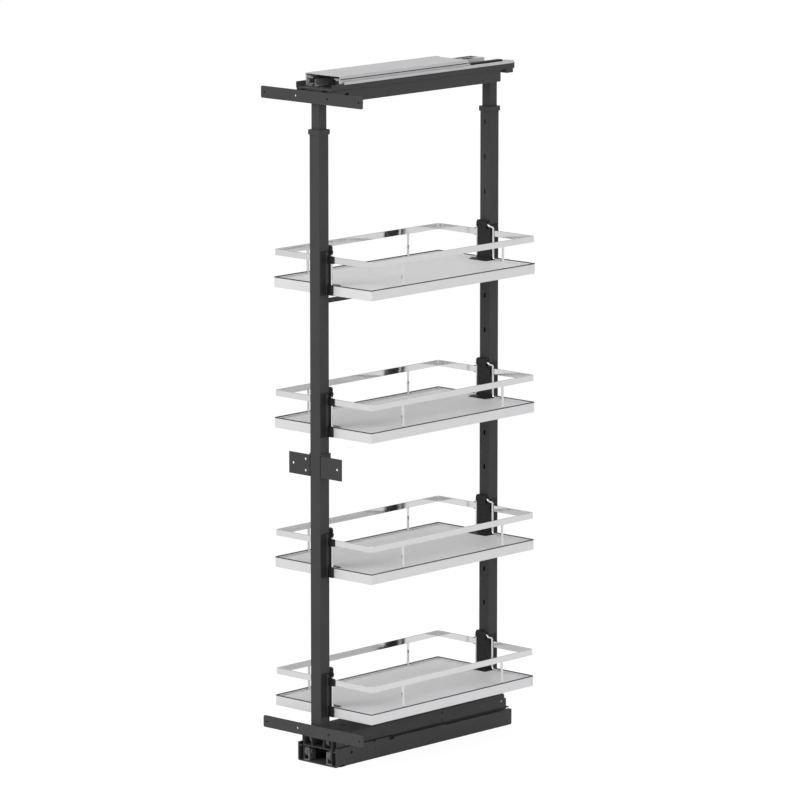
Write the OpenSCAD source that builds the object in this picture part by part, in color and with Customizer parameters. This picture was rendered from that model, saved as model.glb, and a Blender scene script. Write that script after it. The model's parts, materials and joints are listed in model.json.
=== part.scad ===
// Pull out larder unit: four height-adjustable trays hang between two telescopic posts that
// roll out of a tall cabinet on a floor runner and are steadied by a slide under its top.
// Origin: middle of the floor runner's underside. X across, front is -Y, Z up, millimetres.

/* [Trays] */
// Outside width of a tray
tray_w = 250; // [200:1:350]
// Outside depth of a tray, front to back
tray_d = 455; // [430:1:470]
// Height of the rim band round a tray
rim_h = 20; // [16:0.5:30]
// Sheet thickness of the rim band
rim_t = 1.5; // [1:0.1:2.5]
// Width of the ledge that the base panel lies on
ledge_w = 16; // [15:0.5:24]
// Drop from the rim's top edge to the base panel
base_drop = 4.5; // [2:0.5:8]
// Thickness of the base panel
base_t = 6; // [3:0.5:10]
// Height of the lowest tray's rim edge above the cabinet floor
first_rim_z = 112; // [105:1:130]
// Post slots between one tray and the next
slots_per_tray = 4; // [4:1:5]

/* [Gallery rails] */
// Height of the rail's flat bar
rail_h = 12; // [8:0.5:16]
// Thickness of the rail's flat bar
rail_t = 2.5; // [2:0.1:4]
// Rise of the rail's top edge over the rim's top edge
rail_rise = 52.4; // [40:0.1:58]
// Set-in of the rail from the tray's outside
rail_inset = 1.3; // [0.5:0.1:3]
// Outside corner radius of the rail
rail_corner = 6; // [4:0.5:30]
// Width of a rail strut
strut_w = 5; // [4:0.5:8]
// Distance from the tray's end to a strut
strut_end = 89; // [60:1:120]

/* [Posts] */
// Side of the square lower post tube
post_w = 25; // [25:0.5:30]
// Wall of the lower post tube
post_wall = 1.5; // [1:0.1:2]
// Outside corner radius of the tubes
tube_round = 0.6; // [0.4:0.1:1]
// Side of the square inner post tube
stem_w = 20; // [18:0.5:20.6]
// Wall of the inner post tube
stem_wall = 1.5; // [1:0.1:2.5]
// Depth of the notch in a tray's end that the post stands in
post_lap = 5; // [4:0.5:8]
// Top of the lower post tubes
post_top_z = 1200; // [1180:1:1240]
// Length of inner tube that stays inside the lower tube
stem_in = 294; // [250:1:320]
// Pitch of the height slots
slot_pitch = 66.8; // [64:0.1:72]
// Slot width
slot_w = 3; // [2:0.5:5]
// Slot height
slot_h = 9; // [6:0.5:14]
// Height of the collar on a post's top
collar_h = 9.5; // [8:0.5:16]
// Wall of the collar
collar_wall = 2.1; // [1.5:0.1:3]

/* [Hangers] */
// Width of a hanger's plate
hanger_w = 31; // [30:0.5:33]
// Thickness of a hanger's plate
hanger_t = 2; // [1.5:0.1:2.5]
// Rise of a hanger's plate over the rim's top edge
hanger_rise = 65; // [60:0.5:72]
// Reach of the hook from the plate
hook_reach = 10; // [8:0.5:12]
// Width of the hook
hook_w = 22; // [16:1:26]
// Width across a hanger's jaws
jaw_span = 59; // [56:1:64]
// Diameter of the chrome wire hoop
wire_d = 4; // [3:0.2:4.2]
// Spacing of the hoop's two legs
hoop_w = 41.2; // [40:0.2:46]

/* [Floor runner] */
// Width of the floor runner
runner_w = 100; // [96:1:120]
// Length of the floor runner
runner_len = 492; // [480:1:520]
// Height of the floor runner
runner_h = 31; // [30:0.5:36]
// Sheet thickness of the floor runner
runner_t = 2.5; // [2:0.1:3]
// Width of the lips that hold the rear rollers down
lip_w = 9; // [7:0.5:9.5]
// Length of the raised cheeks at the runner's front
cheek_len = 160; // [80:5:220]
// Height of the raised cheeks over the runner's side
cheek_rise = 5; // [2:0.5:5]
// Half width across the moving slide's webs
web_half = 36.5; // [36:0.1:37]
// Sheet thickness of the moving slide
slide_t = 2; // [1.5:0.1:2.5]
// Height of the moving slide's deck over the cabinet floor
deck_z = 31; // [31:0.1:32]
// Top of the moving slide's webs and spine
slide_top_z = 50.5; // [49:0.1:52]
// Half width of the spine on the deck
spine_half = 16; // [14:0.1:17]
// Length of the moving slide
slide_len = 490; // [470:1:500]
// Diameter of the roller axles
axle_d = 5; // [4:0.5:6]
// Width of a roller
roller_w = 8; // [6:0.5:9]

/* [Carriage] */
// Width of the carriage beam
beam_w = 90; // [84:1:92]
// Sheet thickness of the carriage beam
beam_t = 2; // [1.5:0.1:2.5]
// Bottom edge of the carriage beam
beam_z0 = 36.5; // [36:0.1:38]
// Top face of the carriage beam, where the posts stand
beam_z1 = 62.5; // [61:0.1:66]
// Height of the tie bar that joins the posts under the top tray
tie_h = 7; // [5:0.5:10]
// Width of the tie bar
tie_w = 12; // [8:0.5:20]
// Gap from the top tray's rim to the tie bar
tie_drop = 10; // [6:0.5:16]

/* [Door fixings] */
// Length of a door bar
bar_len = 258; // [256:1:290]
// Height of a door bar
bar_h = 22.5; // [16:0.5:25]
// Thickness of a door bar
bar_t = 3; // [2:0.1:4]
// Gap between a door bar and the posts
bar_gap = 5.5; // [4:0.5:8]
// Middle of the lower door bar
low_bar_z = 65.2; // [65:0.1:72]
// Spacing of the inner door holes
bar_holes_in = 82; // [60:1:100]
// Spacing of the outer door holes
bar_holes_out = 240; // [180:1:248]
// Diameter of the inner door holes
door_hole_d = 5; // [4:0.1:6]
// Diameter of the outer door holes
door_pilot_d = 3.6; // [3:0.1:4.5]
// Width of the centre door bracket
bracket_w = 135; // [110:1:150]
// Height of the centre door bracket
bracket_h = 41; // [34:0.5:50]
// Drop from the third tray's rim to the middle of the centre door bracket
bracket_drop = 75.4; // [60:0.1:90]
// Thickness of the centre door bracket
bracket_t = 2; // [1.5:0.1:2.4]

/* [Top slide] */
// Bottom of the top beam
top_beam_z = 1254.5; // [1250:0.5:1300]
// Height of the top beam's sides
top_beam_h = 23; // [20:0.5:30]
// Set-in of the top beam's rear end from the rear post
top_beam_back = 6; // [2:0.5:12]
// Height of the channel on the top beam
channel_h = 12; // [10:0.5:12.5]
// Reach of the channel behind the rear post
channel_over = 6.5; // [4:0.5:16]
// Half width of the channel
channel_half = 46.5; // [46.5:0.1:50]
// Sheet thickness of the channel
channel_t = 2; // [1.5:0.1:2]
// Height of the outer slide profile
track_h = 18.2; // [17:0.1:20]
// Gap that the balls take up between nested profiles
ball_gap = 1.6; // [1.2:0.1:1.8]
// Sheet thickness of the slide profiles
track_t = 1.4; // [1.2:0.1:1.6]
// Depth of the slide profiles, from the outside to the middle
track_d = 14.5; // [14:0.5:16]
// Thickness of the cabinet mounting plate
plate_t = 1.5; // [1.2:0.1:2]
// Height of the mounting plate's underside over the channel's floor
plate_rise = 22.8; // [21:0.1:26]
// Length of the cabinet mounting plate
plate_len = 350; // [300:1:380]
// Set-back of the mounting plate from the channel's front end
plate_back = 23; // [10:1:40]
// Diameter of the screw holes in runner and mounting plate
screw_hole_d = 5; // [4:0.5:6]

/* [Fits] */
// Clearance between pieces that slide or roll past each other
run_gap = 0.3; // [0.2:0.05:0.4]
// Radial clearance of a roller on its axle
axle_gap = 0.06; // [0.03:0.01:0.1]

/* [Hidden] */
$fn = 48;
eps = 0.01;
axle_hole = axle_d + 4 * eps;
trays = 4;
tray_nodes = ["rim", "base", "rail", "front_hanger", "rear_hanger", "hoops"];
frame_nodes = [
    "runner_channel", "runner_roller_brackets", "runner_axles", "soft_close_unit", "rear_buffers",
    "runner_rollers",
    "slide_profile", "slide_axles", "slide_front_rollers", "slide_rear_rollers",
    "carriage_beam", "carriage_roller_ears", "carriage_axles", "carriage_rollers",
    "front_post", "rear_post", "post_collars", "collar_screws", "tie_bar",
    "lower_door_bar", "lower_bar_spacer", "centre_door_bracket", "bracket_screws",
    "front_stem", "rear_stem", "top_beam", "top_channel", "upper_door_bar", "upper_bar_spacer",
    "inner_tracks", "edge_strips", "middle_tracks", "outer_tracks", "mounting_plate"];

// posts
post_in_y = tray_d / 2 - post_lap;
post_mid_y = post_in_y + post_w / 2;
post_out_y = post_in_y + post_w;
tray_pitch = slots_per_tray * slot_pitch;
function rim_z(i) = first_rim_z + (i - 1) * tray_pitch;
top_rim_z = rim_z(trays);
bracket_z = rim_z(3) - bracket_drop;
bore_w = post_w - 2 * post_wall;
collar_lid = 3;

// floor runner and its rollers
runner_y0 = -post_out_y + 3.5;
runner_y1 = runner_y0 + runner_len;
slide_y0 = runner_y0 + 1;
slide_y1 = slide_y0 + slide_len;
slide_z0 = 5;
deck_top = deck_z + slide_t;
lead_y = slide_y0 + 17;

// fixed rollers under the deck
fixed_r = 10.7;
fixed_z = deck_z - run_gap - fixed_r;
fixed_y = runner_y0 + 11;
fixed_x = 29.5;
ear_t = 2;

// rear rollers of the slide, between the runner's floor and its lips
rear_r = (runner_h - 2 * runner_t) / 2 - run_gap;
rear_z = runner_h / 2;
rear_x = runner_w / 2 - runner_t - run_gap * 2 - roller_w / 2;
rear_y = slide_y1 - 22;

// front rollers of the slide, under the carriage beam
lead_r = (beam_z1 - beam_t - run_gap - deck_top - 2 * run_gap) / 2;
lead_z = deck_top + 2 * run_gap + lead_r;
lead_x = spine_half + 1 + roller_w / 2;
lead_head_x = lead_x + roller_w / 2 + 1.3;

// rollers of the carriage, between the slide's deck and its top lips
tail_r = (slide_top_z - slide_t - deck_top) / 2 - run_gap;
tail_z = deck_top + run_gap + tail_r;
tail_x = web_half - slide_t - 1 - roller_w / 2;
web_lip_w = 8.5;

// carriage beam
beam_y0 = -post_in_y - post_w + 10;
beam_y1 = post_in_y + 10;
tail_y = beam_y1 - 28;
foot_half = post_w / 2 + 1.5;

// top beam, channel and slide profiles
channel_z = top_beam_z + top_beam_h;
channel_y0 = -post_out_y;
channel_y1 = post_out_y + channel_over;
stem_top_z = channel_z;
stem_bottom_z = post_top_z - stem_in;
top_bar_z = top_beam_z + 9.5;
wall_top_z = channel_z + channel_h;
track_out = channel_half - channel_t - run_gap - 0.2;
track_z0 = channel_z + channel_t + 0.8;
track_z1 = track_z0 + track_h;
plate_z = channel_z + channel_t + plate_rise;
side_gap = 0.5;
nest_z = track_t + ball_gap;
plate_y0 = channel_y0 + plate_back;
middle_y0 = plate_y0 + 4;
middle_y1 = channel_y1 - 27;
inner_y0 = plate_y0 + 8;
inner_y1 = channel_y1 - 4;

// hangers, measured from the post's inner face towards the middle of the tray
cheek_t = 2;
hanger_gap = run_gap;
plate_face = hanger_gap + hanger_t;
notch_d = post_lap + plate_face + 1;
notch_half = hoop_w / 2 + wire_d / 2 + 0.8;
base_top = -base_drop;
rail_z0 = rail_rise - rail_h;
// the hoop's legs stand inside the rim, and its top leans over the hanger's plate
leg_y = -post_lap + rim_t + run_gap + wire_d / 2;
wire_y = plate_face + wire_d / 2 + 0.3;
leg_room = wire_d / 2 + run_gap;
shoulder_z = hanger_rise - 7;
hoop_top_z = hanger_rise + 1;
hoop_top_half = 7;
lean_in = 3.1;
lean_z = 2;
foot_reach = 13;
foot_w = hoop_w + 4.8;
foot_t = 2;

// colours
anthracite = [0.29, 0.29, 0.30];
black_plastic = [0.10, 0.10, 0.10];
silver = [0.70, 0.71, 0.72];
chrome = [0.84, 0.85, 0.86];
pale_board = [0.82, 0.82, 0.83];
roller_grey = [0.55, 0.55, 0.56];
zinc = [0.62, 0.62, 0.60];

// a profile drawn in X and Z, run along Y from y0 to y1
module along_y(y0, y1) {
    translate([0, y1, 0]) rotate([90, 0, 0]) linear_extrude(y1 - y0) children();
}

// a round bar along X from x0 to x1
module bar_x(x0, x1, y, z, d) {
    translate([min(x0, x1), y, z]) rotate([0, 90, 0]) cylinder(d = d, h = abs(x1 - x0));
}

// a round bar along Y from y0 to y1
module bar_y(y0, y1, x, z, d) {
    translate([x, y0, z]) rotate([-90, 0, 0]) cylinder(d = d, h = y1 - y0);
}

// a block between two corners
module block(lo, hi) {
    translate(lo) cube(hi - lo);
}

// the children and their mirror image across the middle
module both_sides() {
    children();
    mirror([1, 0, 0]) children();
}

// a rectangle with round corners, centred
module round_rect(w, d, r) {
    square([w - 2 * r, d], center = true);
    square([w, d - 2 * r], center = true);
    for (x = [-1, 1], y = [-1, 1]) translate([x * (w / 2 - r), y * (d / 2 - r)]) circle(r);
}

// a square tube with softened outside corners, standing at z0
module square_tube(w, wall, z0, z1) {
    translate([0, 0, z0]) linear_extrude(z1 - z0) difference() {
        round_rect(w, w, tube_round);
        square(w - 2 * wall, center = true);
    }
}

// one corner of a bent wire, eased over the length c on each side
function unit(v) = v / norm(v);
function bend(a, p, b, c) = let (u = p + c * unit(a - p), w = p + c * unit(b - p))
    [for (k = [0:3]) let (t = k / 3) (1 - t) * (1 - t) * u + 2 * t * (1 - t) * p + t * t * w];

// a wire bent through the corners, eased over c
function eased(corners, c) = let (n = len(corners) - 1)
    concat([corners[0]], [for (i = [1:n - 1]) each bend(corners[i - 1], corners[i], corners[i + 1], c)],
        [corners[n]]);

// a round wire of diameter d along a path that never runs straight along Y
module bent_wire(path, d, sides = 10) {
    n = len(path);
    rings = [for (i = [0:n - 1]) let (
        t = unit(path[min(i + 1, n - 1)] - path[max(i - 1, 0)]),
        side = unit(cross(t, [0, 1, 0])),
        over = cross(side, t))
        [for (k = [0:sides - 1]) let (a = 360 * k / sides)
            path[i] + (side * cos(a) + over * sin(a)) * d / 2]];
    walls = [for (i = [0:n - 2], k = [0:sides - 1]) let (m = (k + 1) % sides)
        [i * sides + k, i * sides + m, (i + 1) * sides + m, (i + 1) * sides + k]];
    first_cap = [for (k = [sides - 1:-1:0]) k];
    last_cap = [for (k = [0:sides - 1]) (n - 1) * sides + k];
    polyhedron([for (r = rings) each r], concat(walls, [first_cap, last_cap]));
}

// ---- floor runner, screwed to the cabinet

module runner_channel() {
    half = runner_w / 2;
    color(anthracite) difference() {
        union() {
            along_y(runner_y0, runner_y1) {
                translate([-half, 0]) square([runner_w, runner_t]);
                for (s = [-1, 1]) {
                    translate([s * (half - runner_t / 2) - runner_t / 2, 0]) square([runner_t, runner_h]);
                    translate([s * (half - lip_w / 2) - lip_w / 2, runner_h - runner_t])
                        square([lip_w, runner_t]);
                }
            }
            both_sides() {
                block([half - runner_t, runner_y0, 0],
                    [half, runner_y0 + cheek_len, runner_h + cheek_rise]);
                block([half - runner_t, runner_y0, 0],
                    [half, runner_y0 + mid_wall_len, runner_h + mid_rise]);
            }
        }
        // screw holes to the cabinet floor
        for (x = [-1, 1], y = [-1, 1])
            translate([x * base_hole_x, runner_mid_y + y * base_hole_y, -1])
                cylinder(d = screw_hole_d, h = runner_t + 2);
        // adjusting and jig holes in the sides
        for (h = side_holes)
            bar_x(-half - 1, half + 1, runner_y0 + h[0], h[1], h[2]);
    }
}
runner_mid_y = (runner_y0 + runner_y1) / 2;
// the side walls stand a little higher as far back as this
mid_wall_len = 304;
mid_rise = 2;
base_hole_x = 14;
base_hole_y = 192;
// distance from the runner's front, height and diameter of each side hole
side_holes = [[42, 24, 6.5], [69, 26.2, 3], [108, 19, 3]];

module runner_roller_brackets() {
    color(zinc) both_sides() difference() {
        along_y(fixed_y - 9, fixed_y + 9) translate([0, runner_t]) {
            translate([roller_in(fixed_x) - 1 - ear_t, 0]) square([ear_t, fixed_z + 4.5]);
            translate([roller_in(fixed_x) - 1 - ear_t, 0]) square([14, ear_t]);
        }
        bar_x(0, runner_w / 2, fixed_y, fixed_z, axle_hole);
    }
}
function roller_in(x) = x - roller_w / 2;
function roller_out(x) = x + roller_w / 2;

// an axle pin from its riveted head at x0 to its free end past the roller
module axle_pin(x0, x1, y, z) {
    bar_x(x0, x1, y, z, axle_d);
    bar_x(x0 - 1.5, x0, y, z, axle_d + 3);
}

module runner_axles() {
    color(zinc) both_sides()
        axle_pin(roller_in(fixed_x) - 1 - ear_t, roller_out(fixed_x) + 0.5, fixed_y, fixed_z);
}

// a crowned nylon roller with its bore, on an axle along X
module roller(x, y, z, r) {
    translate([x, y, z]) rotate([0, 90, 0]) rotate_extrude()
        polygon([[axle_d / 2 + axle_gap, -roller_w / 2], [r - 1, -roller_w / 2], [r, -roller_w / 2 + 1],
            [r, roller_w / 2 - 1], [r - 1, roller_w / 2], [axle_d / 2 + axle_gap, roller_w / 2]]);
}

module runner_rollers() {
    color(roller_grey) both_sides() roller(fixed_x, fixed_y, fixed_z, fixed_r);
}

// the damper: its tray, cylinder, rod and the two end blocks
module soft_close_unit() {
    y0 = runner_mid_y - damper_len / 2 - rod_len / 2;
    y1 = y0 + rod_len;
    z = runner_t + damper_d / 2 + 1;
    color(black_plastic) {
        block([-damper_d * 0.75, y0 - end_block, runner_t],
            [damper_d * 0.75, y1 + damper_len + end_block, runner_t + 3]);
        bar_y(y1 - eps, y1 + damper_len, 0, z, damper_d);
        bar_y(y0 - eps, y1, 0, z, axle_d);
        for (y = [y0 - end_block, y1 + damper_len]) block([-end_block / 2, y, runner_t + 1],
            [end_block / 2, y + end_block, z + damper_d / 2 + 1]);
    }
}
damper_d = 12;
damper_len = 100;
rod_len = 40;
end_block = 12;

module rear_buffers() {
    color(black_plastic) both_sides()
        block([buffer_x, slide_y1 - buffer_w - 2, runner_t],
            [buffer_x + buffer_w, slide_y1 - 2, runner_t + buffer_h]);
}
buffer_x = 17;
buffer_w = 10;
buffer_h = 14;

// ---- moving slide between runner and carriage

module slide_profile() {
    color(anthracite) difference() {
        union() {
            slide_section();
            // tabs on the deck's rear end
            both_sides() block([25, slide_y1 - eps, deck_z], [web_half, slide_y1 + 8, deck_top]);
        }
        both_sides() bar_x(spine_half - slide_t - eps, spine_half + 1, lead_y, lead_z, axle_hole);
        bar_x(-web_half - 1, web_half + 1, rear_y, rear_z, axle_hole);
    }
}

// deck, outer webs with their lips, and the spine in the middle
module slide_section() {
    along_y(slide_y0, slide_y1) {
        translate([-web_half, deck_z]) square([2 * web_half, slide_t]);
        translate([-spine_half, slide_top_z - slide_t]) square([2 * spine_half, slide_t]);
        for (s = [-1, 1]) {
            translate([s * (web_half - slide_t / 2) - slide_t / 2, slide_z0])
                square([slide_t, slide_top_z - slide_z0]);
            translate([s * (web_half - web_lip_w / 2) - web_lip_w / 2, slide_top_z - slide_t])
                square([web_lip_w, slide_t]);
            translate([s * (spine_half - slide_t / 2) - slide_t / 2, deck_z])
                square([slide_t, slide_top_z - deck_z]);
        }
    }
}

module slide_axles() {
    color(zinc) both_sides() {
        bar_x(spine_half - slide_t, lead_head_x, lead_y, lead_z, axle_d);
        bar_x(lead_head_x, lead_head_x + 1.2, lead_y, lead_z, axle_d + 2);
        axle_pin(web_half - slide_t, roller_out(rear_x), rear_y, rear_z);
    }
}

module slide_front_rollers() {
    color(roller_grey) both_sides() roller(lead_x, lead_y, lead_z, lead_r);
}

module slide_rear_rollers() {
    color(roller_grey) both_sides() roller(rear_x, rear_y, rear_z, rear_r);
}

// ---- carriage with the posts

module carriage_beam() {
    half = beam_w / 2;
    color(anthracite) difference() {
        union() {
            along_y(beam_y0, beam_y1) {
                translate([-half, beam_z1 - beam_t]) square([beam_w, beam_t]);
                for (s = [-1, 1])
                    translate([s * (half - beam_t / 2) - beam_t / 2, beam_z0])
                        square([beam_t, beam_z1 - beam_z0]);
            }
            // feet that carry the posts past the beam's ends
            block([-foot_half, -post_out_y, beam_z1 - beam_t], [foot_half, beam_y0 + eps, beam_z1]);
            block([-foot_half, beam_y1 - eps, beam_z1 - beam_t], [foot_half, post_out_y, beam_z1]);
        }
        // slots in the top face
        for (y = [-1, 1]) translate([0, y * top_slot_y, beam_z1 - beam_t - 1])
            slot(slot_len, slot_d, beam_t + 2);
        // fixing holes in the sides
        for (z = [beam_z1 - 7, beam_z0 + 3.5]) bar_x(-half - 1, half + 1, 55, z, 3.5);
        bar_x(-half - 1, half + 1, beam_y1 - 9, beam_z1 - 10, 4.5);
    }
}
top_slot_y = 172;

// a slot with round ends along X
module slot(len, w, h) {
    linear_extrude(h) {
        square([len - w, w], center = true);
        for (s = [-1, 1]) translate([s * (len - w) / 2, 0]) circle(d = w);
    }
}

module carriage_roller_ears() {
    color(anthracite) both_sides() difference() {
        along_y(tail_y - 8, tail_y + 8)
            translate([roller_in(tail_x) - 1 - ear_t, tail_z - 4.5])
                square([ear_t, beam_z1 - beam_t - tail_z + 4.5]);
        bar_x(0, web_half, tail_y, tail_z, axle_hole);
    }
}

module carriage_axles() {
    color(zinc) both_sides()
        axle_pin(roller_in(tail_x) - 1 - ear_t, roller_out(tail_x), tail_y, tail_z);
}

module carriage_rollers() {
    color(roller_grey) both_sides() roller(tail_x, tail_y, tail_z, tail_r);
}

// a lower post tube with its height slots in the face towards the trays
module post(rear) {
    color(anthracite) at_post(rear) difference() {
        translate([0, -post_w / 2, 0]) square_tube(post_w, post_wall, beam_z1, post_top_z);
        for (k = [0:slot_count - 1])
            block([-slot_w / 2, -post_wall - 1, first_slot_z + k * slot_pitch - slot_h / 2],
                [slot_w / 2, 1, first_slot_z + k * slot_pitch + slot_h / 2]);
        bar_x(-post_w, 0, -post_w / 2, collar_screw_z, collar_screw_d);
    }
}
module front_post() { post(false); }
module rear_post() { post(true); }

first_slot_z = first_rim_z - 8;
slot_count = floor((post_top_z - collar_h - first_slot_z - slot_h) / slot_pitch) + 1;

collar_screw_z = post_top_z + collar_lid - collar_h / 2;
collar_screw_d = 5;
collar_round = 1.2;

module post_collars() {
    outer = post_w + 2 * collar_wall;
    z1 = post_top_z + collar_lid;
    color(anthracite) for (s = [-1, 1]) difference() {
        translate([0, s * post_mid_y, z1 - collar_h]) linear_extrude(collar_h)
            round_rect(outer, outer, collar_round);
        translate([0, s * post_mid_y, z1 - collar_h - 1]) linear_extrude(collar_h - collar_lid + 1)
            round_rect(post_w + 2 * eps, post_w + 2 * eps, tube_round);
        translate([0, s * post_mid_y, z1 - collar_lid - 1]) linear_extrude(collar_lid + 2)
            square(stem_w + 2 * run_gap, center = true);
        bar_x(-post_w, 0, s * post_mid_y, collar_screw_z, collar_screw_d);
    }
}

module collar_screws() {
    tip = -stem_w / 2 - run_gap;
    head = -post_w / 2 - collar_wall;
    color(zinc) for (s = [-1, 1]) difference() {
        union() {
            bar_x(head, tip, s * post_mid_y, collar_screw_z, collar_screw_d - 2 * axle_gap);
            bar_x(head - 3, head, s * post_mid_y, collar_screw_z, collar_screw_d + 3.5);
        }
        translate([head - 4, s * post_mid_y, collar_screw_z]) rotate([0, 90, 0])
            cylinder(d = 3, h = 3, $fn = 6);
    }
}

module tie_bar() {
    z1 = top_rim_z - rim_h - tie_drop;
    color(anthracite) block([-tie_w / 2, -post_in_y, z1 - tie_h], [tie_w / 2, post_in_y, z1]);
}

// ---- door fixings

// a flat bar across the front with four door holes
module door_bar(z) {
    along_y(bar_front_y, bar_front_y + bar_t) translate([0, z]) difference() {
        round_rect(bar_len, bar_h, 3);
        for (s = [-1, 1], h = [[bar_holes_in, door_hole_d], [bar_holes_out, door_pilot_d]])
            translate([s * h[0] / 2, 0]) circle(d = h[1]);
    }
}
bar_front_y = -post_out_y - bar_gap - bar_t;

module lower_door_bar() {
    color(anthracite) door_bar(low_bar_z);
}

module lower_bar_spacer() {
    color(anthracite) block([-12, -post_out_y - bar_gap, beam_z1 - beam_t],
        [12, -post_out_y, low_bar_z + bar_h / 2 - 1.5]);
}

module upper_door_bar() {
    color(anthracite) door_bar(top_bar_z);
}

module upper_bar_spacer() {
    color(anthracite) block([-12, -post_out_y - bar_gap, top_beam_z - 1],
        [12, -post_mid_y - stem_w / 2, top_bar_z + 9]);
}

// a sheet folded round the back of the front post, with a wing on each side
module centre_door_bracket() {
    inner = post_w / 2 + 0.2;
    wing_y = -post_out_y;
    back_y = -post_in_y + 0.2;
    z0 = bracket_z - bracket_h / 2;
    z1 = bracket_z + bracket_h / 2;
    color(anthracite) difference() {
        union() {
            both_sides() {
                block([inner, wing_y, z0], [bracket_w / 2, wing_y + bracket_t, z1]);
                block([inner, wing_y, z0], [inner + bracket_t, back_y + bracket_t, z1 + 3]);
            }
            block([-inner - bracket_t, back_y, z0], [inner + bracket_t, back_y + bracket_t, z1 + 3]);
        }
        // outside of the two folds
        both_sides() block([inner - 1, wing_y - 1, z0 - 1], [inner + fold_in, wing_y + fold_in, z1 + 1]);
        for (h = bracket_holes)
            bar_y(wing_y - 1, wing_y + bracket_t + 1, h[0], bracket_z + h[1], door_hole_d);
        for (s = [-1, 1]) bar_y(back_y - 1, back_y + bracket_t + 1, 0, bracket_z + s * 11, 4);
    }
}
fold_in = 1.4;
// place of each door hole across and over the bracket's middle
bracket_holes = [[-57, 0], [-25.5, 10.7], [-25.5, -10.7], [55.5, 0]];

module bracket_screws() {
    back_y = -post_in_y + 0.2 + bracket_t;
    color(zinc) for (s = [-1, 1]) difference() {
        union() {
            bar_y(back_y, back_y + 2.5, 0, bracket_z + s * 11, 7.5);
            bar_y(-post_in_y, back_y, 0, bracket_z + s * 11, 4 - 2 * axle_gap);
        }
        translate([0, back_y + 1.2, bracket_z + s * 11]) rotate([-90, 0, 0]) cylinder(d = 3, h = 2, $fn = 6);
    }
}

// ---- upper frame that telescopes in the posts

module stem(y) {
    color(anthracite) translate([0, y, 0]) square_tube(stem_w, stem_wall, stem_bottom_z, stem_top_z);
}
module front_stem() { stem(-post_mid_y); }
module rear_stem() { stem(post_mid_y); }

top_beam_y0 = channel_y0;
top_beam_y1 = post_in_y - top_beam_back;
// bottom flange of the top beam, inwards from each side
beam_flange = 12;
// the cross webs' reach towards the middle, and the half width of their necks round the stems
web_reach = 30;
web_neck = 20;
// the adjusting slot in the top beam's sides
side_slot_in = 40.5;
side_slot_z = 14.5;
side_slot_len = 12;
side_slot_d = 5;
module top_beam() {
    half = beam_w / 2;
    flange_x = half - beam_flange;
    color(anthracite) difference() {
        along_y(top_beam_y0, top_beam_y1) for (s = [0, 1]) mirror([s, 0]) {
            translate([half - beam_t, top_beam_z]) square([beam_t, top_beam_h]);
            for (z = [top_beam_z, channel_z - beam_t]) translate([flange_x, z]) square([beam_flange, beam_t]);
        }
        // adjusting slot through both sides
        translate([-half - 1, top_beam_y0 + side_slot_in, top_beam_z + side_slot_z]) rotate([90, 0, 90])
            slot(side_slot_len, side_slot_d, beam_w + 2);
    }
    // cross webs that tie the two sides to the stems
    color(anthracite) for (rear = [false, true]) at_post(rear) difference() {
        for (w = [[half - beam_t + eps, -eps, web_reach], [web_neck, -post_w, 0]])
            block([-w[0], w[1], channel_z - beam_t], [w[0], w[2], channel_z]);
        translate([0, -post_w / 2, channel_z - beam_t - 1]) linear_extrude(beam_t + 2)
            square(stem_w, center = true);
    }
}

module top_channel() {
    color(anthracite) difference() {
        union() {
            along_y(channel_y0, channel_y1) {
                translate([-channel_half, channel_z]) square([2 * channel_half, channel_t]);
                for (s = [-1, 1])
                    translate([s * (channel_half - channel_t / 2) - channel_t / 2, channel_z])
                        square([channel_t, channel_h]);
            }
            // stop blocks under the rear end
            both_sides() block(
                [channel_half - stop_w, channel_y1 - stop_in - stop_len, channel_z - stop_h],
                [channel_half, channel_y1 - stop_in, channel_z]);
        }
        for (k = [-1:1]) translate([0, k * channel_slots, channel_z - 1])
            slot(slot_len, slot_d, channel_t + 2);
    }
}
stop_w = 16.5;
stop_len = 18;
stop_in = 4;
stop_h = 8;
channel_slots = 150;
// round-ended slots in the beams
slot_len = 13;
slot_d = 5;

// ---- top slide: outer, middle and inner profile on each side, nested

// a C profile open to the middle: its outside face at x, its outline nested by n steps
module c_open_in(x, depth, n, t) {
    z0 = track_z0 + n * nest_z;
    z1 = track_z1 - n * nest_z;
    translate([x - t, z0]) square([t, z1 - z0]);
    for (z = [z0, z1 - t]) translate([x - depth, z]) square([depth, t]);
}

module inner_tracks() {
    x1 = track_out - track_t * 3 - side_gap * 2;
    z0 = track_z0 + 2 * nest_z;
    z1 = track_z1 - 2 * nest_z;
    floor_z = channel_z + channel_t;
    web_x = track_out - track_t - track_d - 1;
    color(silver) along_y(inner_y0, inner_y1) for (s = [0, 1]) mirror([s, 0, 0]) {
        translate([web_x, floor_z]) square([track_t, z1 - floor_z]);
        for (z = [z0, z1 - track_t]) translate([web_x, z]) square([x1 - web_x, track_t]);
        translate([web_x - 8, floor_z]) square([8 + eps, track_t]);
    }
}

module middle_tracks() {
    color(silver) along_y(middle_y0, middle_y1) for (s = [0, 1]) mirror([s, 0, 0])
        c_open_in(track_out - 2 * track_t - side_gap, track_d - track_t - side_gap - 1, 1, track_t);
}

module outer_tracks() {
    color(silver) along_y(plate_y0, plate_y0 + plate_len) for (s = [0, 1]) mirror([s, 0, 0])
        c_open_in(track_out - track_t, track_d - 1, 0, track_t);
}

module edge_strips() {
    x0 = channel_half - channel_t;
    color(silver) along_y(inner_y0, inner_y1) for (s = [0, 1]) mirror([s, 0, 0]) {
        translate([x0, wall_top_z]) square([channel_half - x0 + 1.5, strip_h]);
        translate([channel_half, wall_top_z - strip_skirt]) square([1.5, strip_skirt + eps]);
    }
}
strip_h = 3.5;
strip_skirt = 2;

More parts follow.
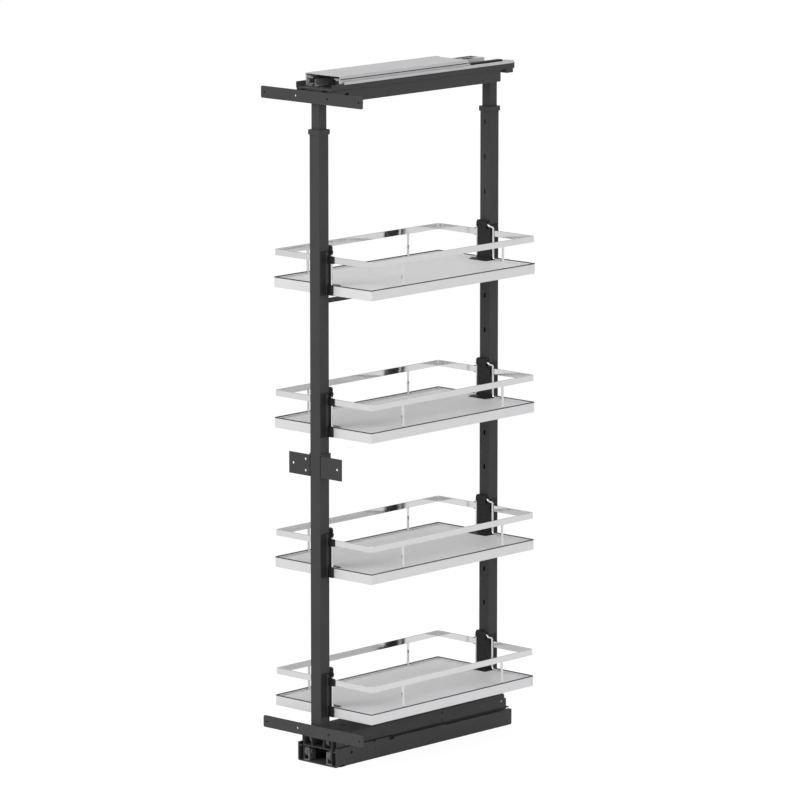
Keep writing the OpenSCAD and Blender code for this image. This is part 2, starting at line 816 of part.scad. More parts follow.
module mounting_plate() {
    y1 = plate_y0 + plate_len;
    color(silver) difference() {
        union() {
            block([-track_out, plate_y0, plate_z], [track_out, y1, plate_z + plate_t]);
            // skirts that carry the outer profiles, with the plate's rolled lip over them
            both_sides() {
                block([track_out - track_t, plate_y0, track_z0], [track_out, y1, plate_z + eps]);
                block([track_out - track_t, plate_y0, plate_z + plate_t - lip_h],
                    [track_out + lip_out, y1, plate_z + plate_t]);
            }
            // stop tongue at the back corner
            block([-track_out, y1 - eps, plate_z], [-track_out + 10, y1 + 6, plate_z + plate_t]);
        }
        for (x = [-1, 1], y = [-1, 1])
            translate([x * plate_hole_x, plate_y0 + plate_len / 2 + y * plate_hole_y, plate_z - 1])
                cylinder(d = screw_hole_d, h = plate_t + 2);
        // the line where the lip meets the profile
        both_sides() block([track_out - groove_t, plate_y0 - 1, plate_z + plate_t - lip_h - groove_h],
            [track_out + lip_out + 1, y1 + 1, plate_z + plate_t - lip_h]);
    }
}
lip_h = 5.5;
lip_out = 1;
groove_h = 1.8;
groove_t = 0.8;
plate_hole_x = 16;
plate_hole_y = plate_len / 2 - 35;

// ---- trays

// places the children, drawn for the front post, at the front or the rear post
module at_post(rear) {
    mirror([0, rear ? 1 : 0, 0]) translate([0, -post_in_y, 0]) children();
}

rim_corner = 3;
module tray_rim(i) {
    z = rim_z(i);
    corner = rim_corner;
    color(chrome) difference() {
        union() {
            translate([0, 0, z - rim_h]) linear_extrude(rim_h) difference() {
                round_rect(tray_w, tray_d, corner);
                round_rect(tray_w - 2 * rim_t, tray_d - 2 * rim_t, corner - rim_t);
            }
            translate([0, 0, z - base_drop - base_t - rim_t]) linear_extrude(rim_t) difference() {
                round_rect(tray_w, tray_d, corner);
                square([tray_w - 2 * ledge_w, tray_d - 2 * ledge_w], center = true);
            }
        }
        for (rear = [false, true]) at_post(rear)
            block([-notch_half, -post_lap - 1, z - rim_h - 1], [notch_half, notch_d - post_lap, z + 1]);
    }
}

module tray_base(i) {
    z = rim_z(i) - base_drop;
    inset = rim_t + 0.2;
    color(pale_board) difference() {
        translate([0, 0, z - base_t]) linear_extrude(base_t)
            round_rect(tray_w - 2 * inset, tray_d - 2 * inset, rim_corner - inset + eps);
        for (rear = [false, true]) at_post(rear)
            block([-notch_half, -post_lap - 1, z - base_t - 1], [notch_half, notch_d - post_lap, z + 1]);
    }
}

rail_end_x = hoop_w / 2 + wire_d / 2 + 0.6;
module tray_rail(i) {
    z = rim_z(i);
    w = tray_w - 2 * rail_inset;
    d = tray_d - 2 * rail_inset;
    color(chrome) {
        translate([0, 0, z + rail_z0]) linear_extrude(rail_h) difference() {
            round_rect(w, d, rail_corner);
            round_rect(w - 2 * rail_t, d - 2 * rail_t, rail_corner - rail_t);
            square([2 * rail_end_x, tray_d], center = true);
        }
        for (x = [-1, 1], y = [-1, 1])
            translate([x * strut_x, y * (tray_d / 2 - strut_end), z + base_top])
                linear_extrude(rail_z0 - base_top + eps) square([strut_t, strut_w], center = true);
    }
}
strut_t = 2;
strut_x = tray_w / 2 - rim_t - run_gap - strut_t / 2;

// a moulded hanger, drawn for the front post with the post's inner face at y = 0
module hanger(z) {
    half = hanger_w / 2;
    inner = post_w / 2 + hanger_gap;
    rail_y = -post_lap + rail_inset;
    color(black_plastic) translate([0, 0, z]) difference() {
        union() {
            // plate, drawn in at its foot
            translate([0, plate_face, 0]) rotate([90, 0, 0]) linear_extrude(hanger_t)
                polygon([
                    [-half + 2, -rim_h], [half - 2, -rim_h], [half, 0], [half, hanger_rise - 4],
                    [half - 4, hanger_rise], [-half + 4, hanger_rise], [-half, hanger_rise - 4],
                    [-half, 0]]);
            both_sides() {
                // cheek along the post's side, with its rib
                block([inner, -post_w + 3, -rim_h], [inner + cheek_t, hanger_gap + eps, hanger_rise - 2]);
                block([inner, -post_w + 10, -rim_h], [inner + cheek_t + 1, -post_w + 14, hanger_rise - 4]);
                // jaw on the gallery rail
                block([inner, rail_y - 3, rail_z0 - 0.8],
                    [jaw_span / 2, plate_face, rail_rise + 0.8]);
                // jaw on the rim
                block([inner, -post_lap - 2.5, -rim_h], [jaw_span / 2 - 1.2, plate_face, 0]);
            }
            // hook over the wire hoop
            translate([-hook_w / 2, 0, 0]) rotate([90, 0, 90]) linear_extrude(hook_w)
                polygon([[hanger_gap, hanger_rise - 6], [plate_face, hanger_rise - 6],
                    [plate_face, hook_z], [hook_in, hook_z], [hook_in, hook_z - 12],
                    [hook_in + 2, hook_z - 13], [plate_face + hook_reach, hook_z - 7],
                    [plate_face + hook_reach, hook_z], [plate_face + hook_reach - 3, hook_z + 3.5],
                    [hanger_gap + 2, hook_z + 3.5], [hanger_gap, hook_z]]);
            // foot on the base panel
            block([-foot_w / 2, plate_face - eps, base_top],
                [foot_w / 2, plate_face + foot_reach, base_top + foot_t]);
        }
        // pockets that grip the rail's and the rim's ends
        both_sides() {
            block([rail_end_x, rail_y, rail_z0], [jaw_span / 2 + 1, rail_y + rail_t, rail_rise]);
            block([notch_half, -post_lap - 0.01, -rim_h - 1],
                [jaw_span / 2 + 1, -post_lap + rim_t + 0.2, 1]);
            block([notch_half, -post_lap, -base_drop - base_t - rim_t],
                [jaw_span / 2 + 1, plate_face + 1, base_top]);
            // room for the hoop's leg and foot
            block([hoop_w / 2 - leg_room, leg_y - leg_room, base_top - run_gap],
                [hoop_w / 2 + leg_room, plate_face + eps, hanger_rise]);
            block([hoop_w / 2, leg_y - leg_room, base_top - run_gap],
                [jaw_span / 2 + 1, plate_face + eps, 1]);
        }
    }
}
hook_z = hoop_top_z + wire_d / 2 + 0.2;
hook_in = wire_y + wire_d / 2 + 0.3;

module tray_hoops(i) {
    z = rim_z(i);
    leg = hoop_w / 2;
    foot_z = base_top + wire_d / 2;
    half = [[leg + foot_run, leg_y, foot_z], [leg, leg_y, foot_z], [leg, leg_y, shoulder_z],
        [leg - lean_in, wire_y, shoulder_z + lean_z], [hoop_top_half, wire_y, hoop_top_z]];
    corners = concat(half, [for (k = [4:-1:0]) [-half[k][0], half[k][1], half[k][2]]]);
    color(chrome) for (rear = [false, true]) at_post(rear) translate([0, 0, z])
        bent_wire(eased(corners, 3), wire_d);
}
foot_run = 18;

module tray_part(i, n) {
    if (n == "rim") tray_rim(i);
    if (n == "base") tray_base(i);
    if (n == "rail") tray_rail(i);
    if (n == "front_hanger") at_post(false) hanger(rim_z(i));
    if (n == "rear_hanger") at_post(true) hanger(rim_z(i));
    if (n == "hoops") tray_hoops(i);
}

runner_channel();
runner_roller_brackets();
runner_axles();
soft_close_unit();
rear_buffers();
runner_rollers();
slide_profile();
slide_axles();
slide_front_rollers();
slide_rear_rollers();
carriage_beam();
carriage_roller_ears();
carriage_axles();
carriage_rollers();
front_post();
rear_post();
post_collars();
collar_screws();
tie_bar();
lower_door_bar();
lower_bar_spacer();
centre_door_bracket();
bracket_screws();
front_stem();
rear_stem();
top_beam();
top_channel();
upper_door_bar();
upper_bar_spacer();
inner_tracks();
edge_strips();
middle_tracks();
outer_tracks();
mounting_plate();
for (i = [1:trays], n = tray_nodes)
    tray_part(i, n);
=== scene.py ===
"""Looks of the pull out larder unit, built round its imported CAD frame."""

from __future__ import annotations

import json
import logging
import math
from dataclasses import dataclass
from enum import Enum
from typing import Callable, Sequence

import bmesh
import bpy
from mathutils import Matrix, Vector

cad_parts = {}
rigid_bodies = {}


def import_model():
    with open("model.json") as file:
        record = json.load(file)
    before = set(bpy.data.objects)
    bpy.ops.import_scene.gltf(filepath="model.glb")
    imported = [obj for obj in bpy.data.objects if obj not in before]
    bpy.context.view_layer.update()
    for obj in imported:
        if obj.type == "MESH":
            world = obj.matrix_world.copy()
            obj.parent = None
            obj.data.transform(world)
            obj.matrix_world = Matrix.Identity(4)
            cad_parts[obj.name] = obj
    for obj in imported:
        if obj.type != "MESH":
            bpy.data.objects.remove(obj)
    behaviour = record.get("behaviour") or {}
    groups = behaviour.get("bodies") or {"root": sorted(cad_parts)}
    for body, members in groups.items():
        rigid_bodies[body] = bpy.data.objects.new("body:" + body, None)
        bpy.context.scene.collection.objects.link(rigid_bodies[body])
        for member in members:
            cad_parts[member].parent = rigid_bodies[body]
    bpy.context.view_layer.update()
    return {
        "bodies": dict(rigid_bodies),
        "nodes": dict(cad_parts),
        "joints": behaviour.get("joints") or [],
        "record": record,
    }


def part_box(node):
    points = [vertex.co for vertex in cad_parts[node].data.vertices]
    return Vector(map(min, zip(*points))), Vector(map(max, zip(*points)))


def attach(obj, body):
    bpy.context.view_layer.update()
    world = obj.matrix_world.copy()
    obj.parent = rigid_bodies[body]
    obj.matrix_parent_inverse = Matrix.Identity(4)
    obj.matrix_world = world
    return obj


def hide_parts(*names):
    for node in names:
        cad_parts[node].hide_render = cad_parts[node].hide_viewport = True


LOG = logging.getLogger("larder")

MM = 0.001
SIDES = (-1, 1)
UP = (0, 0, 1)
BACK = (0, 1, 0)
Colour = tuple[float, float, float]
Point = tuple[float, float, float]
Corners = tuple[Point, Point]


# ---------------------------------------------------------------- shader helpers


class NodeBench:
    """Adds and joins nodes in one shader or geometry node tree."""

    def __init__(self, tree: bpy.types.NodeTree) -> None:
        """Keeps the tree that nodes are added to.

        Args:
            tree: The node tree to work on.
        """
        self.tree = tree

    def add(self, kind: str, settings: dict | None = None, **inputs: object) -> bpy.types.Node:
        """Adds a node, sets its properties and fills or joins its inputs.

        Args:
            kind: The node's type name.
            settings: Properties to set on the node itself.
            **inputs: Values or output sockets, by socket name with spaces as underscores,
                or by number as in i0, i1.

        Returns:
            The new node.
        """
        node = self.tree.nodes.new(kind)
        for name, value in (settings or {}).items():
            setattr(node, name, value)
        for name, value in inputs.items():
            number = name[1:]
            by_number = name[0] == "i" and number.isdigit()
            self.fill(node.inputs[int(number) if by_number else name.replace("_", " ")], value)
        return node

    def fill(self, socket: bpy.types.NodeSocket, value: object) -> None:
        """Joins an output to the socket, or sets its value.

        Args:
            socket: The input socket.
            value: An output socket, a number, a colour or a vector.
        """
        if isinstance(value, bpy.types.NodeSocket):
            self.tree.links.new(value, socket)
        elif socket.type == "RGBA" and len(value) == 3:
            socket.default_value = (*value, 1.0)
        else:
            socket.default_value = value

    def math(self, operation: str, a: object, b: object = 0.0,
             clamp: bool = False) -> bpy.types.NodeSocket:
        """Adds a Math node.

        Args:
            operation: The operation's name, such as MULTIPLY.
            a: First value or socket.
            b: Second value or socket.
            clamp: Whether the result stays between 0 and 1.

        Returns:
            The result's socket.
        """
        settings = {"operation": operation, "use_clamp": clamp}
        return self.add("ShaderNodeMath", settings, i0=a, i1=b).outputs[0]

    def spread(self, value: object, lo: float, hi: float, to_lo: float = 0.0,
               to_hi: float = 1.0) -> bpy.types.NodeSocket:
        """Maps a range of values to another one, clamped.

        Args:
            value: The value or socket to map.
            lo: Where the incoming range starts.
            hi: Where it ends.
            to_lo: What the start becomes.
            to_hi: What the end becomes.

        Returns:
            The result's socket.
        """
        node = self.add("ShaderNodeMapRange", None, i0=value, i1=lo, i2=hi, i3=to_lo, i4=to_hi)
        return node.outputs[0]

    def tint(self, factor: object, a: object, b: object) -> bpy.types.NodeSocket:
        """Mixes two colours.

        Args:
            factor: How much of the second colour, a value or socket.
            a: First colour or socket.
            b: Second colour or socket.

        Returns:
            The mixed colour's socket.
        """
        node = self.add("ShaderNodeMix", {"data_type": "RGBA"})
        for number, value in ((0, factor), (6, a), (7, b)):
            self.fill(node.inputs[number], value)
        return node.outputs[2]


def shader_group(name: str, inputs: dict[str, float], outputs: Sequence[str],
                 wire: Callable[[NodeBench, bpy.types.Node, bpy.types.Node], None]) -> bpy.types.NodeTree:
    """Builds a shader node group of plain values once, or returns the one that is there.

    Args:
        name: The group's name.
        inputs: Input names with their starting values.
        outputs: Output names.
        wire: Fills the group, given its bench, its input node and its output node.

    Returns:
        The node group.
    """
    if name in bpy.data.node_groups:
        return bpy.data.node_groups[name]
    tree = bpy.data.node_groups.new(name, "ShaderNodeTree")
    for label, value in inputs.items():
        socket = tree.interface.new_socket(label, in_out="INPUT", socket_type="NodeSocketFloat")
        socket.default_value = value
    for label in outputs:
        tree.interface.new_socket(label, in_out="OUTPUT", socket_type="NodeSocketFloat")
    bench = NodeBench(tree)
    wire(bench, bench.add("NodeGroupInput"), bench.add("NodeGroupOutput"))
    return tree


def _wire_powder(bench: NodeBench, given: bpy.types.Node, made: bpy.types.Node) -> None:
    """Wires the fine orange-peel texture of a powder coat.

    Args:
        bench: The group's bench.
        given: The group's input node.
        made: The group's output node.
    """
    place = bench.add("ShaderNodeTexCoord").outputs["Object"]
    peel = bench.add("ShaderNodeTexNoise", None, Vector=place, Scale=given.outputs["Grain"], Detail=2.0)
    speck = bench.add("ShaderNodeTexVoronoi", None, Vector=place,
                      Scale=bench.math("MULTIPLY", given.outputs["Grain"], 1.7))
    height = bench.math("ADD", peel.outputs[0], bench.math("MULTIPLY", speck.outputs["Distance"], 0.35))
    bench.fill(made.inputs["Height"], height)
    cloud = bench.add("ShaderNodeTexNoise", None, Vector=place, Scale=9.0, Detail=4.0)
    bench.fill(made.inputs["Cloud"], bench.spread(cloud.outputs[0], 0.3, 0.7))


def _wire_edges(bench: NodeBench, given: bpy.types.Node, made: bpy.types.Node) -> None:
    """Wires a mask that is 1 on worn outside edges.

    Args:
        bench: The group's bench.
        given: The group's input node.
        made: The group's output node.
    """
    soft = bench.add("ShaderNodeBevel", {"samples": 4}, Radius=given.outputs["Width"])
    flat = bench.add("ShaderNodeNewGeometry")
    same = bench.add("ShaderNodeVectorMath", {"operation": "DOT_PRODUCT"})
    bench.fill(same.inputs[0], soft.outputs[0])
    bench.fill(same.inputs[1], flat.outputs["Normal"])
    edge = bench.spread(same.outputs["Value"], 0.97, 0.75)
    place = bench.add("ShaderNodeTexCoord").outputs["Object"]
    chip = bench.add("ShaderNodeTexNoise", None, Vector=place, Scale=120.0, Detail=3.0)
    broken = bench.spread(chip.outputs[0], 0.42, 0.62)
    worn = bench.math("MULTIPLY", edge, broken)
    bench.fill(made.inputs["Mask"], bench.math("MULTIPLY", worn, given.outputs["Amount"], clamp=True))


def _wire_dust(bench: NodeBench, given: bpy.types.Node, made: bpy.types.Node) -> None:
    """Wires a thin dust film that lies on upward faces.

    Args:
        bench: The group's bench.
        given: The group's input node.
        made: The group's output node.
    """
    facing = bench.add("ShaderNodeSeparateXYZ", None, i0=bench.add("ShaderNodeNewGeometry").outputs["Normal"])
    up = bench.spread(facing.outputs[2], 0.2, 1.0)
    place = bench.add("ShaderNodeTexCoord").outputs["Object"]
    drift = bench.add("ShaderNodeTexNoise", None, Vector=place, Scale=26.0, Detail=5.0)
    film = bench.spread(drift.outputs[0], 0.35, 0.75)
    bench.fill(made.inputs["Mask"], bench.math("MULTIPLY", bench.math("MULTIPLY", up, film),
                                               given.outputs["Amount"], clamp=True))


def _wire_drawn(bench: NodeBench, given: bpy.types.Node, made: bpy.types.Node) -> None:
    """Wires the fine lines that rolling and drawing leave along Y.

    Args:
        bench: The group's bench.
        given: The group's input node.
        made: The group's output node.
    """
    place = bench.add("ShaderNodeTexCoord").outputs["Object"]
    along = bench.add("ShaderNodeMapping", None, Vector=place)
    along.inputs["Scale"].default_value = (1.0, 0.012, 1.0)
    lines = bench.add("ShaderNodeTexNoise", None, Vector=along.outputs[0], Scale=given.outputs["Lines"],
                      Detail=3.0, Roughness=0.7)
    bench.fill(made.inputs["Height"], lines.outputs[0])
    stain = bench.add("ShaderNodeTexNoise", None, Vector=place, Scale=30.0, Detail=4.0)
    both = bench.math("ADD", bench.math("MULTIPLY", lines.outputs[0], 0.6),
                      bench.math("MULTIPLY", stain.outputs[0], 0.4))
    bench.fill(made.inputs["Streak"], bench.spread(both, 0.35, 0.65))


class Group(Enum):
    """The shader groups that the finishes share."""

    POWDER = ("Powder grain", {"Grain": 900.0}, ("Height", "Cloud"), _wire_powder)
    EDGES = ("Edge wear", {"Width": 0.0008, "Amount": 0.5}, ("Mask",), _wire_edges)
    DUST = ("Dust film", {"Amount": 0.2}, ("Mask",), _wire_dust)
    DRAWN = ("Drawn lines", {"Lines": 1500.0}, ("Height", "Streak"), _wire_drawn)

    def place(self, bench: NodeBench, **values: float) -> bpy.types.Node:
        """Places the group in a material with its own values.

        Args:
            bench: The material's bench.
            **values: Values for the group's inputs, by name.

        Returns:
            The group's node.
        """
        node = bench.add("ShaderNodeGroup", {"node_tree": shader_group(*self.value)})
        for name, value in values.items():
            node.inputs[name].default_value = value
        return node


# ---------------------------------------------------------------- finishes


@dataclass(frozen=True)
class Finish:
    """One surface finish of the unit."""

    slot: str
    base: Colour
    roughness: float = 0.5
    metallic: float = 0.0
    specular: float = 0.5
    look: str = "main"

    def shader(self, mat: bpy.types.Material) -> tuple[NodeBench, bpy.types.Node]:
        """Clears the material and gives it a Principled shader with the finish's constants.

        Args:
            mat: The material to fill.

        Returns:
            The bench on its tree, and the shader node.
        """
        mat.use_nodes = True
        mat.node_tree.nodes.clear()
        bench = NodeBench(mat.node_tree)
        bsdf = bench.add("ShaderNodeBsdfPrincipled")
        bsdf.inputs["Base Color"].default_value = (*self.base, 1.0)
        bsdf.inputs["Roughness"].default_value = self.roughness
        bsdf.inputs["Metallic"].default_value = self.metallic
        bsdf.inputs["Specular IOR Level"].default_value = self.specular
        out = bench.add("ShaderNodeOutputMaterial")
        bench.fill(out.inputs["Surface"], bsdf.outputs[0])
        return bench, bsdf

    def bump(self, bench: NodeBench, bsdf: bpy.types.Node, height: object, strength: float,
             distance: float) -> None:
        """Feeds a height into the shader's normal.

        Args:
            bench: The material's bench.
            bsdf: The shader node.
            height: The height's socket.
            strength: Bump strength.
            distance: Bump distance in metres.
        """
        node = bench.add("ShaderNodeBump", None, Strength=strength, Distance=distance, Height=height)
        bench.fill(bsdf.inputs["Normal"], node.outputs[0])

    def shade(self, factor: float, lift: float = 0.0) -> Colour:
        """Returns the base colour made lighter or darker."""
        return tuple(min(1.0, c * factor + lift) for c in self.base)

    def gloss(self, bench: NodeBench, bsdf: bpy.types.Node, value: object, less: float,
              more: float, span: tuple[float, float] = (0.0, 1.0)) -> None:
        """Lets a texture vary the roughness about the finish's own.

        Args:
            bench: The material's bench.
            bsdf: The shader node.
            value: The texture's socket.
            less: How far the roughness falls.
            more: How far it rises.
            span: The texture's values at those two ends.
        """
        rough = bench.spread(value, *span, self.roughness - less, self.roughness + more)
        bench.fill(bsdf.inputs["Roughness"], rough)

    def detail(self, bench: NodeBench, bsdf: bpy.types.Node) -> None:
        """Adds the finish's own texture; a plain finish adds none."""

    def material(self) -> bpy.types.Material:
        """Builds the finish's material once and returns it."""
        name = f"{self.slot}_{self.look}"
        if name in bpy.data.materials:
            return bpy.data.materials[name]
        mat = bpy.data.materials.new(name)
        bench, bsdf = self.shader(mat)
        self.detail(bench, bsdf)
        return mat


@dataclass(frozen=True)
class PowderCoat(Finish):
    """Anthracite powder coat with a fine peel, rubbed edges and a little dust."""

    worn: Colour = (0.16, 0.16, 0.165)

    def detail(self, bench: NodeBench, bsdf: bpy.types.Node) -> None:
        """Adds peel, cloudiness, edge wear and dust.

        Args:
            bench: The material's bench.
            bsdf: The shader node.
        """
        grain = Group.POWDER.place(bench, Grain=1100.0)
        edges = Group.EDGES.place(bench, Width=0.0006, Amount=0.35)
        dust = Group.DUST.place(bench, Amount=0.10)
        colour = bench.tint(grain.outputs["Cloud"], self.shade(0.93), self.shade(1.06))
        colour = bench.tint(edges.outputs["Mask"], colour, self.worn)
        colour = bench.tint(dust.outputs["Mask"], colour, (0.35, 0.34, 0.33))
        bench.fill(bsdf.inputs["Base Color"], colour)
        self.gloss(bench, bsdf, grain.outputs["Cloud"], 0.04, 0.05)
        self.bump(bench, bsdf, grain.outputs["Height"], 0.12, 0.0002)


@dataclass(frozen=True)
class MouldedPlastic(Finish):
    """Black moulded plastic with a spark-eroded grain."""

    grain: float = 1600.0

    def detail(self, bench: NodeBench, bsdf: bpy.types.Node) -> None:
        """Adds moulded grain, rubbed edges and dust.

        Args:
            bench: The material's bench.
            bsdf: The shader node.
        """
        grain = Group.POWDER.place(bench, Grain=self.grain)
        edges = Group.EDGES.place(bench, Width=0.0005, Amount=0.3)
        dust = Group.DUST.place(bench, Amount=0.08)
        colour = bench.tint(edges.outputs["Mask"], self.base, self.shade(3, 0.02))
        colour = bench.tint(dust.outputs["Mask"], colour, (0.3, 0.3, 0.29))
        bench.fill(bsdf.inputs["Base Color"], colour)
        self.gloss(bench, bsdf, grain.outputs["Cloud"], 0.06, 0.06)
        self.bump(bench, bsdf, grain.outputs["Height"], 0.15, 0.00015)


@dataclass(frozen=True)
class ChromePlate(Finish):
    """Bright chrome plate with faint polishing haze."""

    def detail(self, bench: NodeBench, bsdf: bpy.types.Node) -> None:
        """Adds polishing haze and fine waviness.

        Args:
            bench: The material's bench.
            bsdf: The shader node.
        """
        place = bench.add("ShaderNodeTexCoord").outputs["Object"]
        haze = bench.add("ShaderNodeTexNoise", None, Vector=place, Scale=45.0, Detail=5.0)
        self.gloss(bench, bsdf, haze.outputs[0], 0.03, 0.04, (0.35, 0.7))
        bench.fill(bsdf.inputs["Base Color"], bench.tint(haze.outputs[0], self.base, self.shade(0.96)))
        wave = bench.add("ShaderNodeTexNoise", None, Vector=place, Scale=18.0, Detail=1.0)
        self.bump(bench, bsdf, wave.outputs[0], 0.05, 0.001)


@dataclass(frozen=True)
class PanelLaminate(Finish):
    """Pale laminate of the tray bases, with a soft gloss."""

    def detail(self, bench: NodeBench, bsdf: bpy.types.Node) -> None:
        """Adds a fine pearl texture, smudges and dust.

        Args:
            bench: The material's bench.
            bsdf: The shader node.
        """
        grain = Group.POWDER.place(bench, Grain=700.0)
        dust = Group.DUST.place(bench, Amount=0.05)
        colour = bench.tint(grain.outputs["Cloud"], self.shade(0.985), self.shade(1.01))
        colour = bench.tint(dust.outputs["Mask"], colour, (0.5, 0.5, 0.49))
        bench.fill(bsdf.inputs["Base Color"], colour)
        self.gloss(bench, bsdf, grain.outputs["Cloud"], 0.05, 0.05)
        self.bump(bench, bsdf, grain.outputs["Height"], 0.03, 0.0001)


@dataclass(frozen=True)
class DrawnMetal(Finish):
    """Bright rolled or drawn metal with fine lines along its length."""

    lines: float = 1500.0

    def detail(self, bench: NodeBench, bsdf: bpy.types.Node) -> None:
        """Adds drawing lines, streaks and bright edges.

        Args:
            bench: The material's bench.
            bsdf: The shader node.
        """
        drawn = Group.DRAWN.place(bench, Lines=self.lines)
        edges = Group.EDGES.place(bench, Width=0.0005, Amount=0.5)
        colour = bench.tint(drawn.outputs["Streak"], self.shade(0.9), self.shade(1.06))
        colour = bench.tint(edges.outputs["Mask"], colour, self.shade(1.3))
        bench.fill(bsdf.inputs["Base Color"], colour)
        self.gloss(bench, bsdf, drawn.outputs["Streak"], 0.07, 0.07)
        self.bump(bench, bsdf, drawn.outputs["Height"], 0.1, 0.0002)


class Coat(Enum):
    """The finishes that the unit is made in."""

    ANTHRACITE = PowderCoat("anthracite_steel", (0.052, 0.052, 0.053), 0.55, 0.0, 0.12)
    COLLAR = MouldedPlastic("anthracite_plastic", (0.050, 0.050, 0.052), 0.5, 0.0, 0.15)
    # Painted light: a lighter copy of the anthracite coat, so that the low runner, slide, carriage beam and
    # door bar, which the lamps leave darker, render brighter.
    BRIGHTENED_ANTHRACITE = PowderCoat("anthracite_steel", (0.061, 0.061, 0.062), 0.55, 0.0, 0.12, "floor")
    BLACK = MouldedPlastic("black_plastic", (0.012, 0.012, 0.013), 0.45, 0.0, 0.25)
    RUBBER = MouldedPlastic("black_rubber", (0.010, 0.010, 0.010), 0.75, 0.0, 0.1, grain=600.0)
    NYLON = MouldedPlastic("grey_nylon", (0.11, 0.11, 0.115), 0.5, 0.0, 0.3, grain=1300.0)
    ZINC = DrawnMetal("zinc_steel", (0.30, 0.30, 0.30), 0.38, 0.7, 0.5, lines=900.0)
    SILVER = DrawnMetal("silver_steel", (0.52, 0.52, 0.53), 0.4, 0.35, 0.5)
    CHROME = ChromePlate("chrome", (0.88, 0.88, 0.89), 0.08, 1.0, 0.5)
    RIM = ChromePlate("chrome", (0.82, 0.82, 0.83), 0.36, 0.75, 0.4, "satin")
    PANEL = PanelLaminate("pale_panel", (0.685, 0.685, 0.693), 0.5, 0.0, 0.2)

    def material(self) -> bpy.types.Material:
        """Returns the finish's material."""
        return self.value.material()


COAT_OF_SLOT = {coat.value.slot: coat for coat in reversed(Coat)}


# ---------------------------------------------------------------- geometry rules


def geometry_rule(name: str, inputs: dict[str, tuple[str, object]],
                  wire: Callable[[NodeBench, bpy.types.Node], bpy.types.NodeSocket]) -> bpy.types.NodeTree:
    """Builds a Geometry Nodes tree that ends in Realize Instances and Set Material.

    Args:
        name: The tree's name.
        inputs: Socket kind and starting value by input name.
        wire: Builds the shape and returns its socket, given the bench and the input node.

    Returns:
        The tree.
    """
    if name in bpy.data.node_groups:
        return bpy.data.node_groups[name]
    tree = bpy.data.node_groups.new(name, "GeometryNodeTree")
    tree.interface.new_socket("Geometry", in_out="INPUT", socket_type="NodeSocketGeometry")
    for label, (kind, value) in {**inputs, "Material": ("Material", None)}.items():
        socket = tree.interface.new_socket(label, in_out="INPUT", socket_type="NodeSocket" + kind)
        if value is not None:
            socket.default_value = value
    tree.interface.new_socket("Geometry", in_out="OUTPUT", socket_type="NodeSocketGeometry")
    bench = NodeBench(tree)
    given, made = bench.add("NodeGroupInput"), bench.add("NodeGroupOutput")
    whole = bench.add("GeometryNodeRealizeInstances", None, i0=wire(bench, given))
    coated = bench.add("GeometryNodeSetMaterial", None, i0=whole.outputs[0], i2=given.outputs["Material"])
    bench.fill(made.inputs[0], coated.outputs[0])
    return tree


def _wire_bar(bench: NodeBench, given: bpy.types.Node) -> bpy.types.NodeSocket:
    """Sweeps an upright flat bar with rounded edges along the base's edges.

    Args:
        bench: The tree's bench.
        given: The tree's input node.

    Returns:
        The swept shape.
    """
    path = bench.add("GeometryNodeMeshToCurve", None, i0=given.outputs["Geometry"])
    turned = bench.add("GeometryNodeFilletCurve", {"mode": "POLY"}, i0=path.outputs[0], i1=8,
                       i2=given.outputs["Corner radius"], i3=True)
    upright = bench.add("GeometryNodeSetCurveNormal", {"mode": "Z_UP"}, i0=turned.outputs[0])
    section = bench.add("GeometryNodeCurvePrimitiveQuadrilateral", None, i0=given.outputs["Thickness"],
                        i1=given.outputs["Height"])
    soft = bench.add("GeometryNodeFilletCurve", {"mode": "POLY"}, i0=section.outputs[0], i1=3,
                     i2=given.outputs["Edge radius"], i3=True)
    return bench.add("GeometryNodeCurveToMesh", None, i0=upright.outputs[0], i1=soft.outputs[0],
                     i3=True).outputs[0]


def _wire_round(bench: NodeBench, given: bpy.types.Node) -> bpy.types.NodeSocket:
    """Sweeps a round wire along the base's edges.

    Args:
        bench: The tree's bench.
        given: The tree's input node.

    Returns:
        The swept shape.
    """
    path = bench.add("GeometryNodeMeshToCurve", None, i0=given.outputs["Geometry"])
    turned = bench.add("GeometryNodeFilletCurve", {"mode": "POLY"}, i0=path.outputs[0], i1=6,
                       i2=given.outputs["Corner radius"], i3=True)
    section = bench.add("GeometryNodeCurvePrimitiveCircle", None, i0=given.outputs["Sides"],
                        i4=given.outputs["Radius"])
    return bench.add("GeometryNodeCurveToMesh", None, i0=turned.outputs[0], i1=section.outputs[0],
                     i3=True).outputs[0]


def _wire_fixings(bench: NodeBench, given: bpy.types.Node) -> bpy.types.NodeSocket:
    """Sets a fixing on each point, facing the point's aim and turned by chance.

    Args:
        bench: The tree's bench.
        given: The tree's input node.

    Returns:
        The fixings.
    """
    shape = bench.add("GeometryNodeObjectInfo", None, i0=given.outputs["Fixing"])
    aim = bench.add("GeometryNodeInputNamedAttribute", {"data_type": "FLOAT_VECTOR"}, Name="aim")
    facing = bench.add("FunctionNodeAlignRotationToVector", {"axis": "Z"}, Vector=aim.outputs[0])
    chance = bench.add("FunctionNodeRandomValue", {"data_type": "FLOAT"}, i2=0.0, i3=math.tau,
                       i8=given.outputs["Seed"])
    turn = bench.add("ShaderNodeCombineXYZ", None, i2=chance.outputs[1])
    spin = bench.add("FunctionNodeEulerToRotation", None, i0=turn.outputs[0])
    rotation = bench.add("FunctionNodeRotateRotation", {"rotation_space": "LOCAL"}, i0=facing.outputs[0],
                         i1=spin.outputs[0])
    return bench.add("GeometryNodeInstanceOnPoints", None, i0=given.outputs["Geometry"],
                     i2=shape.outputs["Geometry"], i5=rotation.outputs[0]).outputs[0]


